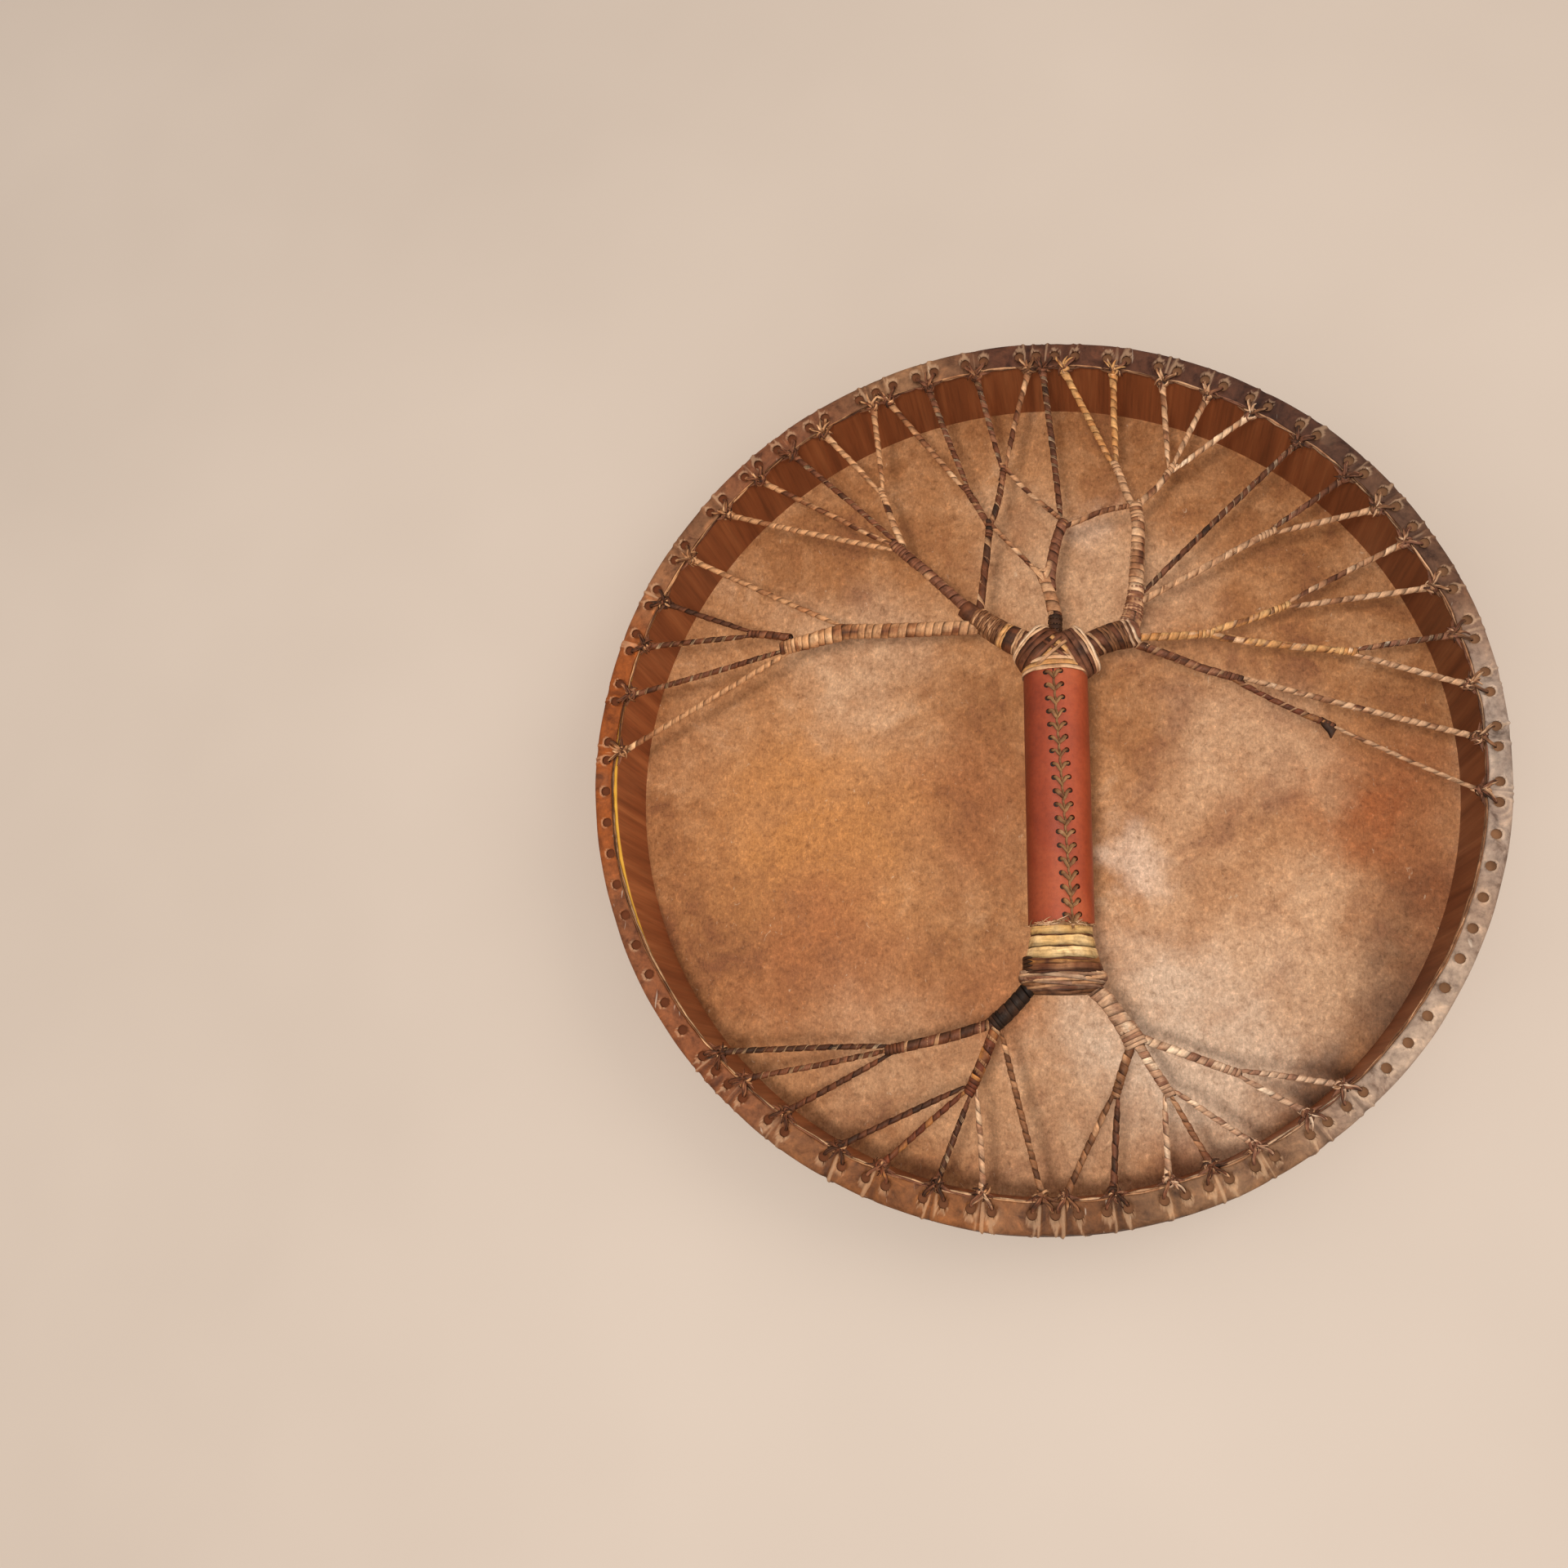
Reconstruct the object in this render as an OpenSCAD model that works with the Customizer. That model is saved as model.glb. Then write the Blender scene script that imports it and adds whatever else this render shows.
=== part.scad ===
// Frame drum: a bent wood hoop with one hide stretched over it, laced at the
// back with rawhide cords that branch like a tree into a leather-covered grip.
// The playing face lies on z = 0 with the drum's axis on Z. The laced back is up.

/* [Drum] */
// Outside diameter, over the hide
drum_d = 502; // [470:2:530]
// Depth from the playing face to the laced back edge
drum_h = 62; // [54:1:70]
// Thickness of the bent wood hoop
hoop_wall = 11.5; // [10:0.5:12.5]
// Thickness of the stretched hide
hide_t = 1.5; // [1:0.1:1.8]

/* [Rim lacing] */
// Width of hide folded over the back edge
flap_w = 12; // [11.5:0.5:13]
// Diameter of the punched lacing holes
hole_d = 4.6; // [4:0.2:5]
// Angle from a lace to the hole at each side of it
hole_side_step = 1.3; // [1.1:0.1:1.5]
// Angle between holes where no lace is tied
spare_hole_step = 4.2; // [3.5:0.1:6]
// Diameter of the cord that runs from knot to knot
rim_cord_d = 1.8; // [1.4:0.1:2]
// Diameter of the two strands that leave each knot
strand_d = 2.2; // [1.6:0.1:2.4]
// Diameter of a knot
knot_d = 5.8; // [5:0.1:6]
// Diameter of a plain lace
lace_d = 3.8; // [3:0.1:4.4]

/* [Grip] */
// Outside diameter of the leather sleeve
grip_d = 35.6; // [34:0.2:37]
// Thickness of the sleeve's leather
leather_t = 2; // [1.4:0.2:2.4]
// Number of stitch rows down the sleeve's seam
stitch_rows = 19; // [15:1:21]
// Diameter of the seam's stitching cord
stitch_d = 2; // [1.4:0.1:2.2]

/* [Hidden] */
$fn = 48;
scale_k = drum_d / 502;          // the tree below is laid out for a 502 mm drum
r_out = drum_d / 2;
r_hoop_in = r_out - hide_t - hoop_wall;
face_round = 4;                  // outer rounding at the playing face
back_round = 3;                  // outer rounding at the back edge
edge_chamfer = 1;                // hoop's inner back edge
flap_r = r_out - flap_w;
hole_r = r_out - 7 * scale_k;    // circle on which the lacing holes are punched
lace_z = drum_h - 3;             // height of the branch centrelines
knot_r = r_hoop_in - 3.5;
knot_z = drum_h - 0.5;
strand_z = drum_h + strand_d / 2 + 0.05;
cord_r = flap_r - 1.2;
cord_z = drum_h - 0.8;
knot_half_angle = 1.3;           // the rim cord stops this far from a knot
close_laces = 3.5;               // laces nearer than this angle share a hole
long_gap = 12;                   // a gap wider than this angle has spare holes
shared_step = 0.34;              // half the angle between two strands in a shared hole
leg_d = 1.6;                     // a strand's end in its hole
tube_sides = 10;
lace_root_d = 1.6;               // a lace starts this thin, beside its neighbour
lace_root_step = 2.2;
lace_taper = 18;

// Grip, along Y
grip_x = 17.3 * scale_k;
grip_top = 49.5 * scale_k;
grip_bottom = -92.5 * scale_k;
core_d = grip_d - 2 * leather_t;
core_top = 56 * scale_k;
core_bottom = -128 * scale_k;
neck_d = 26;                     // the core's diameter below the sleeve
seam_gap = 0.8;
seam_turn = 9.3;                 // degrees that the seam's middle lies round from the grip's highest line
seam_drift = -3;                 // degrees that the seam runs off the grip's line
stitch_hole_d = 3;
stitch_side = 4;                 // from the seam to each row of holes
stitch_pitch = (grip_top - grip_bottom) / stitch_rows;
stitch_drop = stitch_pitch * 0.4;

// Branches: [name, colour, [[heading of the seat or undef, [[x, y, diameter], ...]], ...]]
LIMBS = [
    ["crown_left_bough", "tan",
        [[137, [[-0.5, 68.4, 14.5], [-8, 71.5, 14], [-19, 79, 13], [-31, 88.5, 12]]]]],
    ["crown_left_low_branch", "burlywood",
        [[231, [[-29, 79, 8.4], [-50, 79.3, 8.6], [-72, 79.5, 8.8], [-100, 80.3, 9],
            [-105, 80, 10.2], [-122, 76, 9.2], [-139.5, 72, 8.5]]]]],
    ["crown_left_low_twig", "saddlebrown",
        [[undef, [[-138.5, 79.3, 5], [-149, 80.8, 4.8], [-160, 82, 4.6]]]]],
    ["crown_left_high_branch", "rosybrown",
        [[undef, [[-30.3, 89.3, 6.4], [-42.5, 101.5, 6.2], [-55.5, 114.7, 6.2], [-74, 132, 6.6]]]]],
    ["crown_left_high_twig", "tan",
        [[undef, [[-70.3, 135.8, 3.6], [-75, 147.5, 4], [-82, 168, 4.2]]]]],
    ["crown_left_inner_branch", "saddlebrown",
        [[undef, [[-24, 91.5, 4.6], [-21.5, 111, 4.5], [-18.6, 135, 4.5], [-18.5, 142, 4.8]]]]],
    ["crown_left_inner_twigs", "sienna",
        [[undef, [[-20, 142.3, 2.6], [-22.5, 148, 4], [-32, 165.5, 4.2]]],
         [undef, [[-17, 142.3, 2.6], [-15, 148, 4], [-11.8, 160.5, 4], [-9.3, 177, 4.2]]]]],
    ["crown_cross_ties", "peru",
        [[0, [[-7.3, 174.5, 2.8], [4.5, 159.5, 3], [20.8, 144.2, 2.6]]],
         [0, [[-16.2, 139.5, 2.8], [-4, 125.3, 2.8], [8.4, 110.8, 2.8]]],
         [337, [[27, 137.8, 3.2], [36, 141.2, 3.4], [47, 145, 3.4], [60.2, 147.4, 3.2]]]]],
    ["crown_centre_branch", "darkkhaki",
        [[270, [[18, 73.5, 7], [18, 80, 8.6], [17.3, 88, 7.8], [13.7, 102, 7.4], [12.3, 110.6, 7],
            [16.4, 117.5, 6.5], [19.8, 128.8, 6.3], [24, 140.5, 6.2]]]]],
    ["crown_right_bough", "rosybrown",
        [[210, [[36.1, 64.6, 14], [48, 69, 14.7], [61.5, 71.2, 16.5]]]]],
    ["crown_right_high_branch", "tan",
        [[undef, [[58.5, 80.6, 9], [62, 89, 9], [63.2, 102, 8.6], [64.7, 119, 8],
            [65.6, 136, 7.4], [64.4, 147, 7]]]]],
    ["crown_right_high_twigs", "wheat",
        [[undef, [[62.9, 147.5, 2.8], [60.5, 153, 4.5], [57, 164, 4.5], [53.3, 174.3, 4.6]]],
         [undef, [[66.3, 147.5, 2.8], [70.5, 151.5, 3.9], [77.2, 157.4, 3.8], [86.5, 170, 4.2]]]]],
    ["crown_right_upper_branch", "burlywood",
        [[0, [[67.2, 90.3, 4], [75, 94.5, 4], [97, 105.5, 4], [123, 119, 4], [139, 127, 4.2]]]]],
    ["crown_right_middle_branch", "goldenrod",
        [[197, [[62.4, 68.6, 4.6], [84.6, 68.2, 4.6], [104.5, 68.9, 4.8]]]]],
    ["crown_right_middle_twigs", "peru",
        [[undef, [[104.8, 70.2, 2.4], [109, 71.8, 4], [124, 75.8, 4], [145, 83.5, 4.2]]],
         [undef, [[104.8, 67.7, 2.4], [109, 66, 4.2], [126.3, 62.4, 4.2], [152.6, 58, 4.2],
            [178, 54.2, 4.2]]]]],
    ["crown_right_low_branch", "saddlebrown",
        [[197, [[63.8, 64, 4.5], [84, 55.1, 4.5], [97.3, 48.8, 4.5], [116, 42, 4.6]]]]],
    ["crown_right_low_twig", "sienna",
        [[undef, [[115.9, 40.6, 2.2], [120, 37.6, 3], [139.2, 25.9, 3], [163.7, 13.2, 3.6]]]]],
    ["root_right_bough", "silver",
        [[90, [[34, -128, 9], [40, -133, 9], [47, -143, 10], [55, -156.5, 13.6]]]]],
    ["root_right_low_branch", "burlywood",
        [[120, [[60, -153.6, 4.4], [82.3, -161.8, 4.6], [106.5, -170.5, 4.8]]]]],
    ["root_right_middle_branch", "tan",
        [[120, [[55.7, -156.1, 5], [63.4, -169.2, 5.6], [71, -181.5, 6]]]]],
    ["root_right_inner_branch", "sienna",
        [[120, [[51, -158.8, 4.8], [46.8, -171, 5], [43, -183, 4.8]]]]],
    ["root_left_bough", "dimgray",
        [[90, [[-3, -128, 9], [-9, -135.7, 9.4], [-20, -146, 10]]]]],
    ["root_left_inner_branch", "sienna",
        [[43, [[-18.4, -147.7, 4.6], [-26, -165.7, 6], [-33.5, -182, 6.4]]]]],
    ["root_left_low_branch", "dimgray",
        [[43, [[-21.8, -144.1, 4.6], [-41, -151.6, 6], [-60.7, -156.2, 5.8], [-78, -160, 6]]]]],
];

// Laces, clockwise from the left: [name, colour, [[fork x, fork y, heading, lace diameter,
// [angles at which its laces meet the rim]], ...]]
FANS = [
    ["left_low_laces", "peru", [[-139, 69.5, 195, lace_d, [177, 168.5]]]],
    ["left_mid_laces", "dimgray", [[-160, 82, 174, lace_d, [161, 154]]]],
    ["left_single_lace", "burlywood", [[-108, 85.6, 150, lace_d, [146.5]]]],
    ["left_high_laces", "tan", [[-74, 132, 137, lace_d, [138, 131, 125]]]],
    ["top_left_laces", "wheat", [[-82, 168, 108, lace_d, [119.5, 111.5]]]],
    ["top_inner_laces", "sienna", [[-32, 165.5, 118, lace_d, [109, 103]]]],
    ["top_middle_laces", "sienna", [[-9.3, 177, 82, lace_d, [96, 88.5]]]],
    ["top_single_lace", "dimgray", [[22.6, 141.2, 95, lace_d + 0.3, [86.5]]]],
    ["top_ochre_laces", "goldenrod", [[53.3, 174.3, 105, lace_d + 0.4, [83.5, 76.5]]]],
    ["top_right_laces", "wheat", [[86.5, 170, 53, lace_d, [69.5, 63, 56.5]]]],
    ["right_single_lace", "dimgray", [[67.6, 95.4, 45, lace_d, [49]]]],
    ["right_high_laces", "tan", [[139, 127, 27, lace_d, [41, 35]]]],
    ["right_mid_laces", "burlywood", [[145, 83.5, 20, lace_d, [29, 22]]]],
    ["right_low_laces", "peru", [[178, 54.2, -8, lace_d, [15, 8]]]],
    ["right_lowest_laces", "tan", [[116.4, 43.4, -4, lace_d, [1]], [163.9, 13.1, -28, lace_d - 1, [-6]]]],
    ["root_right_laces", "wheat", [[106.5, -170.5, -20, lace_d, [-48.5, -54]]]],
    ["root_right_middle_laces", "burlywood", [[71, -181.5, -58, lace_d, [-61.5, -67.5, -73]]]],
    ["root_right_inner_laces", "sienna", [[43, -183, -108, lace_d + 0.2, [-80, -86]]]],
    ["root_single_lace", "tan", [[-15.6, -150.4, -75, lace_d, [-89]]]],
    ["root_left_inner_laces", "peru", [[-33.5, -182, -115, lace_d, [-96.5, -102.5, -110, -116]]]],
    ["root_left_laces", "dimgray", [[-78, -160, -168, lace_d, [-124.5, -131.5, -136.5]]]],
];

// Every rim angle in order, and the angular gap that follows each one
ANGLES = [for (fan = FANS) for (fork = fan[2]) each fork[4]];
LACES = len(ANGLES);
function gap_after(i) = i < LACES - 1 ? ANGLES[i] - ANGLES[i + 1] : 360 + ANGLES[i] - ANGLES[0];
function gap_before(i) = gap_after((i + LACES - 1) % LACES);
function side_step(gap) = gap < close_laces ? gap / 2 - shared_step : hole_side_step;

// Angles of the holes and cord stretches in the gap that follows lace i
function gap_holes(i) =
    let (gap = gap_after(i), a = ANGLES[i], clear = gap - 2 * hole_side_step,
         spares = gap > long_gap ? round(clear / spare_hole_step) : 1)
    gap < close_laces
        ? [a - gap / 2]
        : [for (k = [0 : spares]) a - hole_side_step - clear * k / spares];

function arc(x, y, r, from, to, steps = 5) =
    [for (i = [0 : steps]) let (a = from + (to - from) * i / steps) [x + r * cos(a), y + r * sin(a)]];

// The skin line at a depth below the hide's outer face, from the face up to the back edge
function skin_line(depth) = concat(
    arc(r_out - face_round, face_round, face_round - depth, -90, 0),
    arc(r_out - back_round, drum_h - back_round, back_round - depth, 0, 90));
function reversed(list) = [for (i = [len(list) - 1 : -1 : 0]) list[i]];

module hoop() {
    color("peru")
        rotate_extrude()
            polygon(concat(
                [[r_hoop_in, hide_t]],
                skin_line(hide_t),
                [[r_hoop_in + edge_chamfer, drum_h - hide_t],
                 [r_hoop_in, drum_h - hide_t - edge_chamfer]]));
}

module drumhead() {
    color("rosybrown")
        difference() {
            rotate_extrude()
                polygon(concat(
                    [[0, 0]],
                    skin_line(0),
                    [[flap_r, drum_h], [flap_r, drum_h - hide_t]],
                    reversed(skin_line(hide_t)),
                    [[0, hide_t]]));
            for (i = [0 : LACES - 1])
                for (a = gap_holes(i))
                    rotate([0, 0, a])
                        translate([hole_r, 0, drum_h - hide_t - 1])
                            cylinder(d = hole_d, h = hide_t + 2);
        }
}

// The cord along the flap's edge, in stretches between the knots
module rim_cord() {
    color("wheat")
        for (i = [0 : LACES - 1])
            if (gap_after(i) > close_laces)
                rotate([0, 0, ANGLES[i] - gap_after(i) + knot_half_angle])
                    rotate_extrude(angle = gap_after(i) - 2 * knot_half_angle)
                        translate([cord_r, cord_z])
                            circle(d = rim_cord_d);
}

// A cylinder of diameter d from one point to another
module rod(from, to, d) {
    v = to - from;
    translate(from)
        rotate([0, acos(v.z / norm(v)), atan2(v.y, v.x)])
            cylinder(d = d, h = norm(v));
}

// One strand over the flap and down through its hole, turned by an angle from the knot
module strand(turn) {
    middle = [knot_r, 0, strand_z];
    over_hole = [hole_r * cos(turn), hole_r * sin(turn), strand_z];
    v = over_hole - middle;
    leg_low = drum_h - hide_t + 0.05;
    rod(middle + v / norm(v) * strand_d, over_hole, strand_d);
    translate(over_hole)
        sphere(d = strand_d + 0.6);
    translate([over_hole.x, over_hole.y, leg_low])
        cylinder(d = leg_d, h = strand_z - strand_d / 2 - 0.02 - leg_low);
}

// The knots of the laces from number first to number last
module knots(first, last) {
    for (i = [first : last])
        rotate([0, 0, ANGLES[i]]) {
            translate([knot_r, 0, knot_z])
                sphere(d = knot_d);
            strand(side_step(gap_before(i)));
            strand(-side_step(gap_after(i)));
        }
}

CROWN_LACES = len([for (a = ANGLES) if (a > -30) a]);

module crown_knots() {
    color("saddlebrown") knots(0, CROWN_LACES - 1);
}

module root_knots() {
    color("sienna") knots(CROWN_LACES, LACES - 1);
}

// A turned piece along the grip: its outline is [radius, y] pairs
module turned(outline) {
    translate([grip_x, 0, lace_z])
        rotate([-90, 0, 0])
            rotate_extrude()
                polygon(outline);
}

module handle_core() {
    color("burlywood")
        turned([[0, core_bottom], [neck_d / 2, core_bottom], [neck_d / 2, grip_bottom],
                [core_d / 2, grip_bottom], [core_d / 2, core_top], [0, core_top]]);
}

// Puts its children in the seam's own frame, on the grip's axis at mid-length with Z out through the seam
module at_seam() {
    translate([grip_x, (grip_top + grip_bottom) / 2, lace_z])
        rotate([0, seam_turn, 0])
            rotate([0, 0, -seam_drift])
                children();
}

function stitch_y(row) = (row - (stitch_rows - 1) / 2) * stitch_pitch;

module grip_sleeve() {
    over = 4;
    color("sienna")
        difference() {
            turned([[core_d / 2, grip_bottom], [grip_d / 2, grip_bottom],
                    [grip_d / 2, grip_top], [core_d / 2, grip_top]]);
            at_seam() {
                translate([-seam_gap / 2, grip_bottom - grip_top, 0])
                    cube([seam_gap, 2 * (grip_top - grip_bottom), grip_d / 2 + over]);
                for (row = [0 : stitch_rows - 1])
                    for (side = [-1, 1])
                        translate([side * stitch_side, stitch_y(row), core_d / 4])
                            cylinder(d = stitch_hole_d, h = grip_d / 2);
            }
        }
}

// V stitches over the seam, from hole to hole, with a leg in each hole
module grip_lacing() {
    rise = stitch_d / 2 + 0.05;
    side_z = grip_d / 2 + rise;
    leg_z = core_d / 2 - 0.3;
    color("darkkhaki")
        at_seam()
            for (row = [0 : stitch_rows - 1])
                for (side = [-1, 1]) {
                    y = stitch_y(row);
                    hole_at = [side * stitch_side, y, side_z];
                    rod(hole_at, [0, y - stitch_drop, side_z], stitch_d);
                    translate(hole_at)
                        sphere(d = stitch_d + 0.3);
                    translate([hole_at.x, y, leg_z])
                        cylinder(d = stitch_d, h = side_z - leg_z);
                }
}

module trunk_collar() {
    bulge = 0.7;
    color("wheat")
        turned([[core_d / 2, grip_top], [grip_d / 2 - bulge, grip_top],
                [grip_d / 2 + bulge, grip_top + 2], [grip_d / 2 + bulge, core_top - 2],
                [grip_d / 2 - bulge, core_top], [core_d / 2, core_top]]);
}

// A cone of wraps round the root of a bough, kept to its own side of the trunk's middle
module shoulder(side, start, end, d1, d2) {
    block = 60;
    v = end - start;
    intersection() {
        translate(start)
            rotate([0, 90, atan2(v.y, v.x)])
                cylinder(d1 = d1, d2 = d2, h = norm(v));
        translate([grip_x + (side > 0 ? 0 : -block), core_top, lace_z - block / 2])
            cube([block, block, block]);
    }
}

module left_shoulder_binding() {
    color("saddlebrown")
        shoulder(-1, [17.3, 55, 0] * scale_k + [0, 0, lace_z], [1, 70, 0] * scale_k + [0, 0, lace_z],
                 33, 21);
}

module right_shoulder_binding() {
    color("dimgray")
        shoulder(1, [17.3, 54, 0] * scale_k + [0, 0, lace_z], [36, 64.5, 0] * scale_k + [0, 0, lace_z],
                 32, 24.8);
}

// Three turns of pale strip below the sleeve, each a bulged ring
module throat_binding() {
    band_h = 6 * scale_k;
    band_d = [31.5, 33.5, 36.5];
    bulge = 0.8;
    color("wheat")
        for (i = [0 : 2]) {
            top = grip_bottom - i * band_h;
            low = top - band_h;
            r = band_d[i] / 2;
            turned([[neck_d / 2, low], [r - bulge, low], [r, low + 1.5], [r, top - 1.5],
                    [r - bulge, top], [neck_d / 2, top]]);
        }
}

// A flattened band round the core: w wide and t thick, from y_low to y_high
module flat_band(w, t, y_low, y_high) {
    side = (w - t) / 2;
    difference() {
        translate([grip_x, y_low, lace_z])
            rotate([-90, 0, 0])
                linear_extrude(height = y_high - y_low)
                    polygon(concat(arc(side, 0, t / 2, -90, 90, 14), arc(-side, 0, t / 2, 90, 270, 14)));
        turned([[0, core_bottom], [neck_d / 2, core_bottom], [neck_d / 2, grip_bottom],
                [0, grip_bottom]]);
    }
}

module waist_binding() {
    color("saddlebrown") flat_band(40.6, 33, -118 * scale_k, -110.5 * scale_k);
}

module base_binding() {
    color("gainsboro") flat_band(47, 32, core_bottom, -118 * scale_k);
}

// One ring of a tube: centre p, tangent t, and a face turned to the heading of its seat
function ring(p, t, seat) =
    [for (k = [0 : tube_sides - 1])
        let (a = 360 * k / tube_sides, r = p.z / 2, u = [-t.y, t.x],
             face = is_undef(seat) ? t : [cos(seat), sin(seat)],
             across = r * cos(a), along = -across * (u * face) / (t * face))
        [p.x * scale_k + across * u.x + along * t.x,
         p.y * scale_k + across * u.y + along * t.y,
         lace_z + r * sin(a)]];

// A round tube along a flat route of [x, y, diameter] points, seated against its parent
module tube(seat, route) {
    n = len(route);
    unit = [for (i = [0 : n - 2]) let (v = route[i + 1] - route[i], l = norm([v.x, v.y])) [v.x, v.y] / l];
    rings = [for (i = [0 : n - 1])
        let (v = i == 0 ? unit[0] : i == n - 1 ? unit[n - 2] : unit[i - 1] + unit[i])
        ring(route[i], v / norm(v), i == 0 ? seat : undef)];
    sides = [for (i = [0 : n - 2]) for (k = [0 : tube_sides - 1])
        let (a = i * tube_sides + k, b = i * tube_sides + (k + 1) % tube_sides)
        each [[a, a + tube_sides, b + tube_sides], [a, b + tube_sides, b]]];
    start_cap = [for (k = [1 : tube_sides - 2]) [0, k, k + 1]];
    last = (n - 1) * tube_sides;
    end_cap = [for (k = [1 : tube_sides - 2]) [last, last + k + 1, last + k]];
    polyhedron(points = [for (r = rings) each r], faces = concat(start_cap, sides, end_cap));
}

module limb(entry) {
    color(entry[1])
        for (branch = entry[2])
            tube(branch[0], branch[1]);
}

// One lace: thin where it leaves the fork, then full thickness up to its knot
module lace(start, rim_angle, d) {
    end = [knot_r * cos(rim_angle), knot_r * sin(rim_angle), knot_z];
    v = end - start;
    length = norm(v) - knot_d / 2;
    translate(start)
        rotate([0, acos(v.z / norm(v)), atan2(v.y, v.x)])
            rotate_extrude()
                polygon([[0, 0], [lace_root_d / 2, 0], [d / 2, lace_taper], [d / 2, length], [0, length]]);
}

// The laces of a fork stand side by side across its tip
module fan(entry) {
    color(entry[1])
        for (fork = entry[2])
            for (i = [0 : len(fork[4]) - 1]) {
                offset_left = ((len(fork[4]) - 1) / 2 - i) * lace_root_step;
                lace([fork[0] * scale_k - offset_left * sin(fork[2]),
                      fork[1] * scale_k + offset_left * cos(fork[2]), lace_z],
                     fork[4][i], fork[3]);
            }
}

hoop();
drumhead();
rim_cord();
crown_knots();
root_knots();
handle_core();
grip_sleeve();
grip_lacing();
trunk_collar();
left_shoulder_binding();
right_shoulder_binding();
throat_binding();
waist_binding();
base_binding();
for (entry = LIMBS) limb(entry);
for (entry = FANS) fan(entry);
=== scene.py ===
# Looks of the frame drum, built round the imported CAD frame. Shapes are laid out in
# millimetres in the drum's frame and written out in metres.
import math
import random

import bmesh
import bpy
import numpy as np
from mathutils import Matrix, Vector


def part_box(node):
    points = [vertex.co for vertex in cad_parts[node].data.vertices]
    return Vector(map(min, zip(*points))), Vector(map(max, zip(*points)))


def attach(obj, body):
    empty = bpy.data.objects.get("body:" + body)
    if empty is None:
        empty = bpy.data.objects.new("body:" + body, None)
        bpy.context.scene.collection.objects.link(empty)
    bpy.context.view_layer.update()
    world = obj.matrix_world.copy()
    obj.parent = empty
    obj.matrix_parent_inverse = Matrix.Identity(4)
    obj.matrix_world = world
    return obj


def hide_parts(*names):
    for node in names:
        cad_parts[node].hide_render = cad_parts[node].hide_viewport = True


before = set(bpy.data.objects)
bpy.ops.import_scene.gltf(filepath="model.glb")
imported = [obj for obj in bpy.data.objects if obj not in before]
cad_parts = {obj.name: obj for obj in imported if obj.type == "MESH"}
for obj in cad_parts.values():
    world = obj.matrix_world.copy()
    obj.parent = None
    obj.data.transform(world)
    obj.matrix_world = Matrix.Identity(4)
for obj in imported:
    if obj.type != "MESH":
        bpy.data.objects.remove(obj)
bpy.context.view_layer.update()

MM = 0.001
TAU = 2 * math.pi
BODY = "root"

# Main sizes, in millimetres
R_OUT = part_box("drumhead")[1].x / MM
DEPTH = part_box("drumhead")[1].z / MM
HIDE_T = 1.5
FLAP_W = 12.0
HOOP_IN = R_OUT - HIDE_T - 11.5
FLAP_R = R_OUT - FLAP_W
HOLE_R = R_OUT - 7
HOLE_RADIUS = 2.75
LACE_Z = DEPTH - 3
KNOT_R = HOOP_IN - 3.5
KNOT_Z = DEPTH - 0.5
GRIP_X = 17.3
GRIP_TOP, GRIP_BOTTOM = 49.5, -92.5
GRIP_RADIUS = 17.8
EDGE_R = R_OUT - 4                                # where the face turns up into the wall
SHARED_GAP = 3.5                                  # degrees; knots nearer than this share one hole
WIDE_GAP = 12                                     # degrees; a wider gap has spare holes
HOLE_STEP = 1.3                                   # degrees from a knot to the hole beside it
UP = np.array([0.0, 0.0, 1.0])


# ---------------------------------------------------------------- colours
def lin(r, g, b):
    """An sRGB colour from 0 to 255 as linear light."""
    return np.array([((c / 255 + 0.055) / 1.055) ** 2.4 for c in (r, g, b)])


WHITE = lin(224, 200, 176)
PALE = lin(208, 174, 144)
CREAM = lin(184, 144, 112)
YELLOW = lin(194, 152, 104)
OCHRE = lin(178, 124, 74)
TAN = lin(148, 104, 74)
GREY = lin(160, 132, 112)
MAUVE = lin(118, 78, 60)
BROWN = lin(98, 58, 38)
RED = lin(98, 52, 34)
DARK = lin(70, 44, 30)
BLACK = lin(44, 30, 21)
OLIVE = lin(134, 100, 68)

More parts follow.
